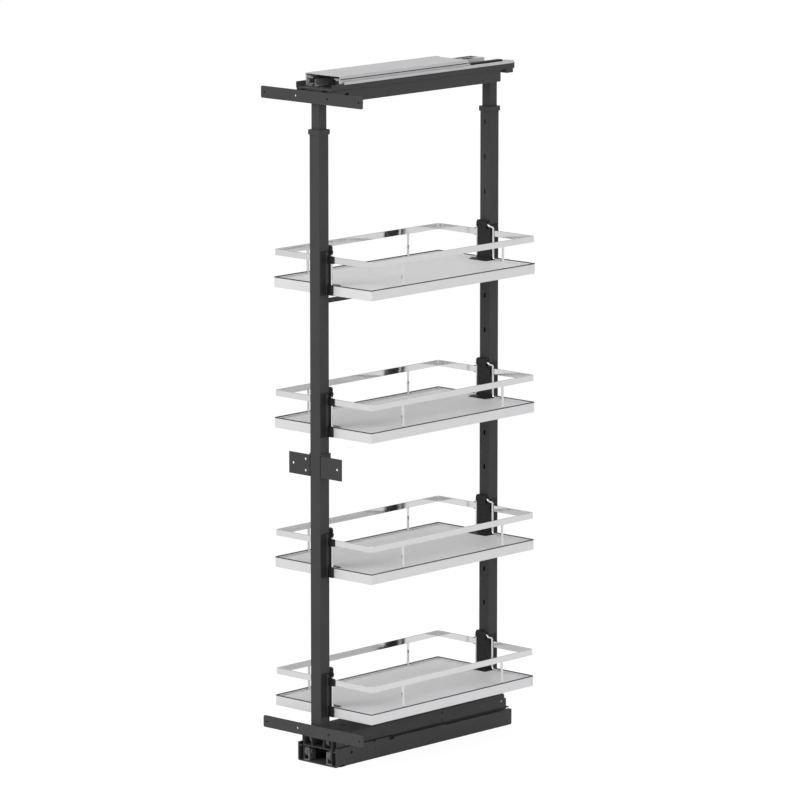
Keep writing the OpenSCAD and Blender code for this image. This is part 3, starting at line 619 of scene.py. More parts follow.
def _wire_balls(bench: NodeBench, given: bpy.types.Node) -> bpy.types.NodeSocket:
    """Sets a row of balls from each point along Y.

    Args:
        bench: The tree's bench.
        given: The tree's input node.

    Returns:
        The balls.
    """
    step = bench.add("ShaderNodeCombineXYZ", None, i1=given.outputs["Pitch"])
    row = bench.add("GeometryNodeMeshLine", {"mode": "OFFSET"}, i0=given.outputs["Balls"], i3=step.outputs[0])
    rows = bench.add("GeometryNodeInstanceOnPoints", None, i0=given.outputs["Geometry"], i2=row.outputs[0])
    points = bench.add("GeometryNodeRealizeInstances", None, i0=rows.outputs[0])
    ball = bench.add("GeometryNodeMeshUVSphere", None, i0=10, i1=7, i2=given.outputs["Radius"])
    balls = bench.add("GeometryNodeInstanceOnPoints", None, i0=points.outputs[0], i2=ball.outputs[0])
    return balls.outputs[0]


class Rule(Enum):
    """The shape rules that repeated and swept pieces follow."""

    FLAT_BAR = ("Flat bar along a path",
                {"Thickness": ("Float", 0.0025), "Height": ("Float", 0.012),
                 "Corner radius": ("Float", 0.005), "Edge radius": ("Float", 0.0005)}, _wire_bar)
    ROUND_WIRE = ("Round wire along a path", {"Radius": ("Float", 0.002), "Corner radius": ("Float", 0.004),
                                              "Sides": ("Int", 14)}, _wire_round)
    FIXINGS = ("Fixings on points", {"Fixing": ("Object", None), "Seed": ("Int", 7)}, _wire_fixings)
    BALLS = ("Rows of balls", {"Balls": ("Int", 20), "Pitch": ("Float", 0.006), "Radius": ("Float", 0.001)},
             _wire_balls)

    def run(self, points: Sequence[Sequence[float]], links: Sequence[tuple[int, int]] = (),
            aims: Sequence[Sequence[float]] = (), **values: object) -> bpy.types.Mesh:
        """Runs the rule on a few points and returns the plain mesh that it makes.

        Args:
            points: The base's points, in millimetres.
            links: Pairs of points joined by an edge.
            aims: The way that a fixing on each point faces.
            **values: The rule's inputs, with spaces as underscores.

        Returns:
            The realised mesh.
        """
        name, inputs, wire = self.value
        tree = geometry_rule(name, inputs, wire)
        base = bpy.data.meshes.new("rule_base")
        base.from_pydata([tuple(c * MM for c in p) for p in points], list(links), [])
        if aims:
            layer = base.attributes.new("aim", "FLOAT_VECTOR", "POINT")
            layer.data.foreach_set("vector", [c for aim in aims for c in aim])
        carrier = bpy.data.objects.new("rule_carrier", base)
        bpy.context.scene.collection.objects.link(carrier)
        modifier = carrier.modifiers.new("rule", "NODES")
        modifier.node_group = tree
        sockets = {item.name: item.identifier for item in tree.interface.items_tree if item.in_out == "INPUT"}
        for label, value in values.items():
            modifier[sockets[label.replace("_", " ")]] = value
        bpy.context.view_layer.update()
        made = bpy.data.meshes.new_from_object(carrier.evaluated_get(bpy.context.evaluated_depsgraph_get()))
        bpy.data.objects.remove(carrier)
        return made


# ---------------------------------------------------------------- mesh work


class Body(Enum):
    """The bodies that pieces ride on."""

    RUNNER = "cabinet_runner"
    RUNNER_ROLLERS = "runner_rollers"
    SLIDE = "runner_slide"
    SLIDE_FRONT_ROLLERS = "slide_front_rollers"
    SLIDE_REAR_ROLLERS = "slide_rear_rollers"
    CARRIAGE = "carriage"
    CARRIAGE_ROLLERS = "carriage_rollers"
    UPPER = "upper_frame"
    TOP_SLIDES = "top_slides"
    TOP_PLATE = "top_plate"
    TRAY_1 = "tray_1"
    TRAY_2 = "tray_2"
    TRAY_3 = "tray_3"
    TRAY_4 = "tray_4"


EdgeTest = Callable[[bmesh.types.BMEdge], bool]


def along(axis: int) -> EdgeTest:
    """Picks edges that run along an axis.

    Args:
        axis: 0, 1 or 2 for X, Y or Z.

    Returns:
        The test.
    """
    def test(edge: bmesh.types.BMEdge) -> bool:
        """Says whether the edge runs that way."""
        way = edge.verts[1].co - edge.verts[0].co
        return abs(way[axis]) > 0.99 * way.length
    return test


def near(axis: int, *places: float) -> EdgeTest:
    """Picks edges that lie at a place on an axis, on either side of the middle.

    Args:
        axis: 0, 1 or 2 for X, Y or Z.
        *places: Distances from the middle, in millimetres.

    Returns:
        The test.
    """
    def test(edge: bmesh.types.BMEdge) -> bool:
        """Says whether both ends lie there."""
        return any(all(abs(abs(v.co[axis]) - p * MM) < 0.00006 for v in edge.verts) for p in places)
    return test


def outward(edge: bmesh.types.BMEdge) -> bool:
    """Says whether the edge is an outside corner."""
    return edge.is_convex


def inward(edge: bmesh.types.BMEdge) -> bool:
    """Says whether the edge is an inside corner."""
    return not edge.is_convex


@dataclass(frozen=True)
class Round:
    """One pass that rounds sharp edges."""

    width: float = 0.3
    steps: int = 2
    least: float = 0.0
    tests: tuple[EdgeTest, ...] = ()
    clamp: bool = True

    def picks(self, edge: bmesh.types.BMEdge) -> bool:
        """Says whether this pass rounds the edge."""
        return (edge.is_manifold and edge.calc_face_angle() > 0.6 and edge.calc_length() > self.least * MM
                and all(test(edge) for test in self.tests))


def bend(width: float, *tests: EdgeTest, steps: int = 4) -> Round:
    """Names the pass that rounds a fold's outside corners along Y."""
    return Round(width, steps, 20.0, (along(1), outward, *tests))


BREAK = Round(0.25, 2, clamp=False)
INSIDE = Round(0.7, 2, 20.0, (along(1), inward))


class Blank:
    """A closed mesh that a piece of the unit is worked from."""

    def __init__(self, *sources: bpy.types.Mesh) -> None:
        """Starts from copies of meshes, merged and with their flat faces joined.

        Args:
            *sources: Meshes to copy; none leaves the blank empty.
        """
        self.bm = bmesh.new()
        for source in sources:
            self.bm.from_mesh(source)
        if sources:
            bmesh.ops.remove_doubles(self.bm, verts=self.bm.verts, dist=1e-6)
            bmesh.ops.dissolve_limit(self.bm, angle_limit=math.radians(0.5), verts=self.bm.verts,
                                     edges=self.bm.edges)

    def round(self, *passes: Round) -> "Blank":
        """Rounds sharp edges, pass by pass.

        Args:
            *passes: The passes, in order.

        Returns:
            The blank itself.
        """
        for one in passes:
            edges = [edge for edge in self.bm.edges if one.picks(edge)]
            if edges:
                bmesh.ops.bevel(self.bm, geom=edges, offset=one.width * MM, offset_type="OFFSET",
                                segments=one.steps, profile=0.5, affect="EDGES", clamp_overlap=one.clamp)
                bmesh.ops.dissolve_degenerate(self.bm, dist=2e-6, edges=self.bm.edges)
        return self

    def less(self, tool: "Blank") -> "Blank":
        """Cuts another blank out of this one.

        Args:
            tool: The closed shape to take away; it's used up.

        Returns:
            The blank itself.
        """
        body, knife = self.plain("cut_body"), tool.plain("cut_knife")
        for one in (body, knife):
            bpy.context.scene.collection.objects.link(one)
        cut = body.modifiers.new("cut", "BOOLEAN")
        cut.operation, cut.solver, cut.object = "DIFFERENCE", "EXACT", knife
        bpy.context.view_layer.update()
        made = bpy.data.meshes.new_from_object(body.evaluated_get(bpy.context.evaluated_depsgraph_get()))
        self.bm = bmesh.new()
        self.bm.from_mesh(made)
        for one in (body, knife):
            bpy.data.objects.remove(one)
        return self

    def take(self, mesh: bpy.types.Mesh) -> "Blank":
        """Adds a mesh as it is and returns the blank."""
        self.bm.from_mesh(mesh)
        return self

    def turned(self, profile: Sequence[tuple[float, float]], at: Sequence[float],
               way: Sequence[float] = (0, 0, 1), steps: int = 32, loop: bool = False,
               waist: Callable[[float, int], float] | None = None) -> "Blank":
        """Adds a shape turned round an axis.

        Args:
            profile: Radius and height of each ring, in millimetres.
            at: The axis's foot, in millimetres.
            way: The axis's direction.
            steps: Faces round the shape.
            loop: Whether the last ring joins the first, as round a bore.
            waist: Changes a ring's radius by angle, given the angle and the ring's number.

        Returns:
            The blank itself.
        """
        frame = Vector(way).to_track_quat("Z", "Y").to_matrix()
        foot = Vector(at)
        rings = []
        for number, (radius, height) in enumerate(profile):
            count = 1 if radius < 1e-6 else steps
            ring = []
            for k in range(count):
                angle = math.tau * k / steps
                reach = radius * (waist(angle, number) if waist else 1.0)
                point = foot + frame @ Vector((reach * math.cos(angle), reach * math.sin(angle), height))
                ring.append(self.bm.verts.new(point * MM))
            rings.append(ring)
        for a, b in zip(rings, rings[1:] + rings[:1] if loop else rings[1:]):
            for k in range(steps):
                m = (k + 1) % steps
                corners = [a[k % len(a)], a[m % len(a)], b[m % len(b)], b[k % len(b)]]
                face = list(dict.fromkeys(corners))
                if len(face) > 2:
                    self.bm.faces.new(face)
        return self

    def prism(self, outline: Sequence[tuple[float, float]], axis: int, low: float, high: float) -> "Blank":
        """Adds an outline stretched along an axis.

        Args:
            outline: Corners in the plane of the other two axes, in millimetres.
            axis: 0, 1 or 2 for X, Y or Z.
            low: Where it starts.
            high: Where it ends.

        Returns:
            The blank itself.
        """
        ends = []
        for level in (low, high):
            ring = []
            for a, b in outline:
                place = [a, b]
                place.insert(axis, level)
                ring.append(self.bm.verts.new(Vector(place) * MM))
            ends.append(ring)
        self.bm.faces.new(ends[0])
        self.bm.faces.new(ends[1])
        for k in range(len(outline)):
            m = (k + 1) % len(outline)
            self.bm.faces.new((ends[0][k], ends[0][m], ends[1][m], ends[1][k]))
        return self

    def box(self, low: Sequence[float], high: Sequence[float]) -> "Blank":
        """Adds a box between two corners, in millimetres, and returns the blank."""
        outline = ((low[0], low[1]), (high[0], low[1]), (high[0], high[1]), (low[0], high[1]))
        return self.prism(outline, 2, low[2], high[2])

    def pair(self, low: Sequence[float], high: Sequence[float]) -> "Blank":
        """Adds a box and its mirror image across the middle plane.

        Args:
            low: The corner with the lowest Y and Z, in millimetres.
            high: The opposite corner.

        Returns:
            The blank itself.
        """
        for s in SIDES:
            x0, x1 = sorted((s * low[0], s * high[0]))
            self.box((x0, *low[1:]), (x1, *high[1:]))
        return self

    def plain(self, name: str) -> bpy.types.Object:
        """Makes an unlinked pattern object from the blank, for a rule to repeat."""
        bmesh.ops.recalc_face_normals(self.bm, faces=self.bm.faces)
        mesh = bpy.data.meshes.new(name)
        self.bm.to_mesh(mesh)
        self.bm.free()
        return bpy.data.objects.new(name, mesh)

    def piece(self, name: str, coat: Coat, body: Body, *nodes: str, crease: float = 38.0) -> bpy.types.Object:
        """Finishes the blank as a piece of the unit.

        Args:
            name: The piece's name.
            coat: Its finish.
            body: What it rides on.
            *nodes: CAD nodes that it stands for.
            crease: Edges sharper than this many degrees stay crisp.

        Returns:
            The piece.
        """
        made = self.plain(name)
        bpy.context.scene.collection.objects.link(made)
        made.data.materials.clear()
        made.data.materials.append(coat.material())
        made.data.polygons.foreach_set("material_index", [0] * len(made.data.polygons))
        made.data.shade_smooth()
        made.data.set_sharp_from_angle(angle=math.radians(crease))
        even = made.modifiers.new("even", "WEIGHTED_NORMAL")
        even.keep_sharp = True
        bpy.context.view_layer.update()
        made.data = bpy.data.meshes.new_from_object(
            made.evaluated_get(bpy.context.evaluated_depsgraph_get()), preserve_all_data_layers=True,
            depsgraph=bpy.context.evaluated_depsgraph_get())
        made.modifiers.clear()
        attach(made, body.value)
        if nodes:
            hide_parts(*nodes)
        LOG.info("%-28s %6d faces, %s on %s", name, len(made.data.polygons), coat.value.slot, body.value)
        return made


@dataclass(frozen=True)
class Fixing:
    """A screw, nut or rivet that is repeated."""

    name: str
    profile: tuple[tuple[float, float], ...]
    recess: tuple[tuple[float, float], ...] = ()
    corners: int = 6
    steps: int = 24

    def pattern(self) -> bpy.types.Object:
        """Returns the pattern object, made once."""
        found = bpy.data.objects.get(self.name)
        if found:
            return found
        first = len(self.profile)

        def key(angle: float, ring: int) -> float:
            """Draws the recess's rings in to flats."""
            if ring < first or not self.recess:
                return 1.0
            flat = math.pi / self.corners
            return math.cos(flat) / math.cos((angle % (2 * flat)) - flat)

        shape = Blank().turned(self.profile + self.recess, (0, 0, 0), steps=self.steps, waist=key)
        return shape.plain(self.name)


class Fixings(Enum):
    """The fixings that hold the unit together."""

    RIVET = Fixing("pattern_rivet",
                   ((0.0, -0.6), (1.2, -0.6), (2.6, 0.0), (2.5, 0.45), (1.9, 0.95), (1.0, 1.3),
                    (0.0, 1.4)), steps=20)
    SOCKET_SCREW = Fixing("pattern_socket_screw",
                          ((0.0, -3.0), (1.9, -3.0), (1.9, 0.0), (4.1, 0.0), (4.25, 0.2),
                           (4.25, 2.6), (3.95, 3.0), (2.3, 3.0)),
                          ((1.75, 2.8), (1.75, 1.1), (0.0, 0.9)))
    BUTTON_SCREW = Fixing("pattern_button_screw",
                          ((0.0, -1.9), (1.8, -1.9), (1.8, 0.0), (3.6, 0.0), (3.75, 0.15),
                           (3.6, 0.8), (2.9, 1.7), (2.0, 2.2)),
                          ((1.5, 2.2), (1.45, 1.1), (0.0, 0.9)))
    BLIND_NUT = Fixing("pattern_blind_nut",
                       ((0.0, 0.0), (4.4, 0.0), (4.4, 0.7), (3.2, 1.0), (3.2, 6.5), (2.8, 7.2),
                        (0.0, 7.4)))


@dataclass
class Shop:
    """Where copies of the CAD nodes are worked into finished pieces."""

    nodes: dict[str, bpy.types.Object]
    slots: dict[str, str]

    def blank(self, *names: str) -> Blank:
        """Copies CAD nodes into a blank."""
        return Blank(*(self.nodes[name].data for name in names))

    def work(self, node: str, body: Body, *passes: Round, crease: float = 38.0,
             coat: Coat | None = None) -> bpy.types.Object:
        """Rounds a copy of a CAD node and puts it in the node's place.

        Args:
            node: The CAD node.
            body: What it rides on.
            *passes: How its edges are rounded.
            crease: Edges sharper than this many degrees stay crisp.
            coat: Its coat, unless it is the node's own.

        Returns:
            The piece.
        """
        coat = coat or COAT_OF_SLOT[self.slots[node]]
        return self.blank(node).round(*passes).piece(node + "_worked", coat, body, node, crease=crease)

    def fix(self, name: str, fixing: Fixings, spots: Sequence[Sequence[float]],
            aims: Sequence[Sequence[float]], coat: Coat, body: Body, *nodes: str,
            seed: int = 7) -> bpy.types.Object:
        """Repeats a fixing on spots and makes one piece of them all.

        Args:
            name: The piece's name.
            fixing: The fixing to repeat.
            spots: Where each one sits, in millimetres.
            aims: The ways that the heads face, gone through again until each spot has one.
            coat: Its finish.
            body: What it rides on.
            *nodes: CAD nodes that it stands for.
            seed: Seed of the turn by chance.

        Returns:
            The piece.
        """
        facing = list(aims) * (len(spots) // len(aims))
        mesh = Rule.FIXINGS.run(spots, aims=facing, Fixing=fixing.value.pattern(), Seed=seed)
        return Blank().take(mesh).piece(name, coat, body, *nodes)

    def rollers(self, node: str, body: Body, width: float = 8.0, bore: float = 2.56) -> bpy.types.Object:
        """Turns the pair of rollers that a CAD node stands for.

        Args:
            node: The CAD node.
            body: What they ride on.
            width: Their width, in millimetres.
            bore: Radius of the bore, in millimetres.

        Returns:
            The piece.
        """
        low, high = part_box(node)
        radius = (high.z - low.z) / 2 / MM
        at_y, at_z = (low.y + high.y) / 2 / MM, (low.z + high.z) / 2 / MM
        half = width / 2
        face = ((bore, half), (bore + 1.5, half), (bore + 2.0, half - 0.9), (radius - 2.6, half - 0.9),
                (radius - 2.0, half - 0.1), (radius - 0.9, half), (radius - 0.35, half - 0.3),
                (radius, half - 1.0))
        profile = tuple((r, -h) for r, h in face) + ((radius, 0.0),) + tuple(reversed(face))
        blank = Blank()
        for side in SIDES:
            blank.turned(profile, (side * (high.x / MM - half), at_y, at_z), (1, 0, 0), 40, loop=True)
        return blank.piece(node + "_worked", Coat.NYLON, body, node)


# ---------------------------------------------------------------- sub-assemblies


@dataclass
class FloorRunner:
    """The runner on the cabinet floor, with its rollers, damper and buffers."""

    shop: Shop
    half: float = 50.0
    sheet: float = 2.5
    side_holes: tuple[Point, ...] = ((-202.0, 24.0, 6.5), (-175.0, 26.2, 3.0), (-136.0, 19.0, 3.0))
    lip: Corners = ((45.3, -243.4, 35.1), (49.9, -84.6, 36.0))
    pad_x: tuple[float, float] = (49.0, 50.25)
    bracket_x: float = 33.0
    bracket_rivets: tuple[float, float] = (-239.0, -227.0)
    bracket_t: float = 2.0
    rod_y0: float = -68.0
    rod_y1: float = -28.0
    damper_len: float = 100.0
    damper_z: float = 9.5
    block_len: float = 12.0

    def build(self) -> None:
        """Makes every piece of the runner."""
        shop, body = self.shop, Body.RUNNER
        shop.work("runner_channel", body, bend(2.4, near(2, 0.0)), INSIDE, BREAK, coat=Coat.BRIGHTENED_ANTHRACITE)
        shop.work("runner_roller_brackets", body, BREAK)
        shop.work("runner_axles", body, Round(0.5, 3))
        shop.work("rear_buffers", body, Round(2.0, 4))
        shop.rollers("runner_rollers", Body.RUNNER_ROLLERS)
        self.damper()
        self.rivets()
        self.lips()

    def lips(self) -> None:
        """Folds the tall cheeks in at their top, and adds the front's rubber pads and the plugs."""
        lips, pads = Blank().pair(*self.lip), Blank()
        for s in SIDES:
            x0, x1 = sorted(s * x for x in self.pad_x)
            pads.prism(((-234.0, 0.2), (-219.0, 0.2), (-222.0, 2.6), (-228.0, 3.6), (-234.0, 2.2)), 0, x0, x1)
            pads.box((x0, -143.0, 33.0), (x1, -137.0, 36.0))
            pads.box((x0, -98.0, 29.5), (x1, -84.8, 35.6))
        lips.round(Round(0.3, 2)).piece("runner_lips", Coat.BRIGHTENED_ANTHRACITE, Body.RUNNER)
        pads.round(Round(0.3, 2)).piece("runner_pads", Coat.RUBBER, Body.RUNNER)
        plugs = Blank()
        for y, z, hole in self.side_holes:
            for s in SIDES:
                r = hole / 2 + 0.02
                plugs.turned(((0.0, -1.2), (r, -1.2), (r, -0.6), (r * 0.8, -0.5), (0.0, -0.5)),
                             (s * (self.half - self.sheet / 2), y, z), (s, 0, 0), 24)
        plugs.piece("runner_plugs", Coat.RUBBER, Body.RUNNER)

    def damper(self) -> None:
        """Makes the soft-close damper: tray, cylinder with caps, rod and end blocks."""
        y0, y1 = self.rod_y0, self.rod_y1
        end = y1 + self.damper_len
        blank = Blank()
        floor, block = self.sheet, self.block_len
        blank.prism(((-9, floor), (9, floor), (9, floor + 3.0), (7.6, floor + 3.0), (7.6, floor + 1.2),
                     (-7.6, floor + 1.2), (-7.6, floor + 3.0), (-9, floor + 3.0)), 1, y0 - block, end + block)
        for y in (y0 - block, end):
            blank.prism(((-6, floor + 1.2), (6, floor + 1.2), (6, 13.4), (4, 16.4), (-4, 16.4), (-6, 13.4)),
                        1, y, y + block)
        blank.round(Round(0.4, 2, 2.0))
        ribs = [(0.0, 0.0), (5.2, 0.0), (6.0, 0.8), (6.0, 6.0), (5.5, 6.4), (5.5, 7.2), (6.0, 7.6)]
        length = self.damper_len
        cylinder = ribs + [(r, length - h) for r, h in reversed(ribs)]
        blank.turned(cylinder, (0, y1, self.damper_z), BACK, 36)
        blank.piece("damper_housing", Coat.BLACK, Body.RUNNER, "soft_close_unit")
        shape = ((0.0, 0.0), (1.6, 0.0), (2.2, 0.6), (2.2, 39.4), (3.2, 39.4), (3.2, 40.0), (0.0, 40.0))
        rod = Blank().turned(shape, (0, y0, self.damper_z), BACK, 24)
        rod.piece("damper_rod", Coat.ZINC, Body.RUNNER)

    def rivets(self) -> None:
        """Rivets the roller brackets to the runner's floor."""
        top = self.sheet + self.bracket_t
        spots = [(s * self.bracket_x, y, top) for s in SIDES for y in self.bracket_rivets]
        self.shop.fix("runner_rivets", Fixings.RIVET, spots, [UP], Coat.ANTHRACITE, Body.RUNNER)


@dataclass
class SlideStage:
    """The moving slide between the runner and the carriage."""

    shop: Shop
    top_z: float = 50.5
    rivets: int = 6
    first_rivet: float = -190.0
    rivet_step: float = 76.0

    def build(self) -> None:
        """Makes every piece of the slide."""
        shop, body = self.shop, Body.SLIDE
        shop.work("slide_profile", body, bend(1.7, near(2, self.top_z)), INSIDE, BREAK, coat=Coat.BRIGHTENED_ANTHRACITE)
        shop.work("slide_axles", body, Round(0.45, 3))
        shop.rollers("slide_front_rollers", Body.SLIDE_FRONT_ROLLERS)
        shop.rollers("slide_rear_rollers", Body.SLIDE_REAR_ROLLERS)
        spots = [(0.0, self.first_rivet + self.rivet_step * k, self.top_z) for k in range(self.rivets)]
        shop.fix("slide_rivets", Fixings.RIVET, spots, [UP], Coat.ANTHRACITE, body)


@dataclass
class Carriage:
    """The carriage beam with the lower posts, collars, tie bar and door fixings."""

    shop: Shop
    beam_half: float = 45.0
    beam_top: float = 62.5
    post_y: float = 235.0
    post_half: float = 12.5
    collar_z: float = 1198.25
    collar_face: float = 14.6
    bracket_z: float = 571.0
    bracket_back: float = -220.3
    low_bar_z: float = 65.2
    bar_back: float = -253.0
    bracket_screw: float = 11.0
    nut_x: float = 120.0
    beam_rivet: tuple[float, float] = (223.4, 49.3)
    first_slot: float = 104.0
    slot_pitch: float = 66.8
    slots_up: int = 17
    slot_wear: float = 1.5

    def build(self) -> None:
        """Makes every piece of the carriage."""
        shop, body = self.shop, Body.CARRIAGE
        shop.work("carriage_beam", body, bend(2.2, near(2, self.beam_top), near(0, self.beam_half)), INSIDE,
                  BREAK, coat=Coat.BRIGHTENED_ANTHRACITE)
        shop.work("carriage_roller_ears", body, BREAK)
        shop.work("carriage_axles", body, Round(0.4, 3))
        shop.rollers("carriage_rollers", Body.CARRIAGE_ROLLERS)
        for node in ("front_post", "rear_post"):
            post = self.slots(shop.blank(node)).round(BREAK)
            post.piece(node + "_worked", Coat.ANTHRACITE, body, node)
        shop.work("post_collars", body, Round(0.5, 2, clamp=False))
        shop.work("tie_bar", body, Round(0.8, 3))
        shop.work("lower_door_bar", body, BREAK, coat=Coat.BRIGHTENED_ANTHRACITE)
        shop.work("lower_bar_spacer", body, Round(0.6, 2))
        shop.work("centre_door_bracket", body, BREAK)
        self.screws()
        self.welds()

    def slots(self, post: Blank) -> Blank:
        """Opens the hanging slots to the width that their rubbed edges show.

        Args:
            post: A post's blank.

        Returns:
            The blank.
        """
        for vert in post.bm.verts:
            steps = (vert.co.z / MM - self.first_slot) / self.slot_pitch
            in_slot = abs(steps - round(steps)) * self.slot_pitch < 5.0 and steps < self.slots_up - 0.5
            if in_slot and abs(vert.co.x) < 0.00152:
                vert.co.x *= self.slot_wear
        return post

    def screws(self) -> None:
        """Sets the collar screws, the bracket screws and the blind nuts behind the door bar."""
        shop, body = self.shop, Body.CARRIAGE
        spots = [(-self.collar_face, s * self.post_y, self.collar_z) for s in SIDES]
        shop.fix("collar_screws_worked", Fixings.SOCKET_SCREW, spots, [(-1, 0, 0)], Coat.ZINC, body,
                 "collar_screws")
        spots = [(0.0, self.bracket_back, self.bracket_z + s * self.bracket_screw) for s in SIDES]
        shop.fix("bracket_screws_worked", Fixings.BUTTON_SCREW, spots, [BACK], Coat.ZINC, body,
                 "bracket_screws")
        spots = [(s * self.nut_x, self.bar_back, self.low_bar_z) for s in SIDES]
        shop.fix("lower_bar_nuts", Fixings.BLIND_NUT, spots, [BACK], Coat.ANTHRACITE, body)

    def welds(self) -> None:
        """Runs a weld bead round the foot of each post, and rivets the beam's sides."""
        h = self.post_half + 0.2
        points, links = [], []
        for s in SIDES:
            first = len(points)
            ring = ((-h, -h), (h, -h), (h, h), (-h, h))
            points += [(x, s * self.post_y + y, self.beam_top + 0.1) for x, y in ring]
            links += [(first + k, first + (k + 1) % 4) for k in range(4)]
        mesh = Rule.ROUND_WIRE.run(points, links, Radius=0.0009, Corner_radius=0.001, Sides=10)
        Blank().take(mesh).piece("post_welds", Coat.ANTHRACITE, Body.CARRIAGE)
        spots = [(s * self.beam_half, *self.beam_rivet) for s in SIDES]
        self.shop.fix("beam_rivets", Fixings.RIVET, spots, [(s, 0, 0) for s in SIDES], Coat.ZINC,
                      Body.CARRIAGE)


@dataclass
class UpperFrame:
    """The inner posts with the top beam, its channel, the door bar and the inner slides."""

    shop: Shop
    beam_z: float = 1254.5
    channel_z: float = 1277.5
    post_y: float = 235.0
    door_z: float = 1264.0
    bar_back: float = -253.0
    strip_top: float = 1293.0
    sheet: float = 2.0
    nut_x: float = 120.0
    screw_x: float = 8.0
    rivet_x: float = 24.0
    rivets: int = 6
    first_rivet: float = -180.0
    rivet_step: float = 72.0
    track_foot: float = 1.4
    tab_x: tuple[float, float] = (26.0, 42.5)
    tab_y: tuple[float, float] = (-241.0, -239.0)
    # Corners of the black blocks behind the side slots, which are painted shade.
    slot_shade_block: Corners = ((42.0, -215.0, 1264.8), (43.2, -199.0, 1273.2))

    def build(self) -> None:
        """Makes every piece of the upper frame."""
        shop, body = self.shop, Body.UPPER
        for node in ("front_stem", "rear_stem"):
            shop.work(node, body, BREAK)
        shop.work("top_beam", body, bend(1.8, near(2, self.beam_z), near(0, 45.0)), INSIDE, BREAK)
        shop.work("top_channel", body, bend(1.8, near(2, self.channel_z)), INSIDE, BREAK)
        shop.work("upper_door_bar", body, BREAK)
        shop.work("upper_bar_spacer", body, Round(0.6, 2))
        shop.work("inner_tracks", body, Round(0.55, 3, 20.0), Round(0.2, 2, clamp=False))
        shop.work("edge_strips", body, bend(1.0, near(2, self.strip_top)), BREAK)
        self.fixings()
        self.inserts()

    def inserts(self) -> None:
        """Adds the tabs that close the beam's front end, and black blocks behind its side slots that are
        painted shade, making the slots read dark.
        """
        tabs = Blank().pair((self.tab_x[0], self.tab_y[0], self.beam_z + 1.0),
                            (self.tab_x[1], self.tab_y[1], self.channel_z - 1.0))
        tabs.round(Round(0.5, 2)).piece("beam_end_tabs", Coat.ANTHRACITE, Body.UPPER)
        # Black blocks in the side slots: painted shade for the beam's dark inside.
        shade_fills = Blank().pair(*self.slot_shade_block)
        shade_fills.round(Round(0.2, 2)).piece("beam_slot_liners", Coat.RUBBER, Body.UPPER)

    def fixings(self) -> None:
        """Sets the screws over the posts, the channel's rivets and the door bar's blind nuts."""
        shop, body = self.shop, Body.UPPER
        floor = self.channel_z + self.sheet
        spots = [(s * self.screw_x, t * self.post_y, floor) for s in SIDES for t in SIDES]
        shop.fix("post_top_screws", Fixings.BUTTON_SCREW, spots, [UP], Coat.ANTHRACITE, body, seed=11)
        spots = [(s * self.rivet_x, self.first_rivet + self.rivet_step * k, floor + self.track_foot)
                 for s in SIDES for k in range(self.rivets)]
        shop.fix("inner_track_rivets", Fixings.RIVET, spots, [UP], Coat.COLLAR, body, seed=5)
        spots = [(s * self.nut_x, self.bar_back, self.door_z) for s in SIDES]
        shop.fix("upper_bar_nuts", Fixings.BLIND_NUT, spots, [BACK], Coat.ANTHRACITE, body)


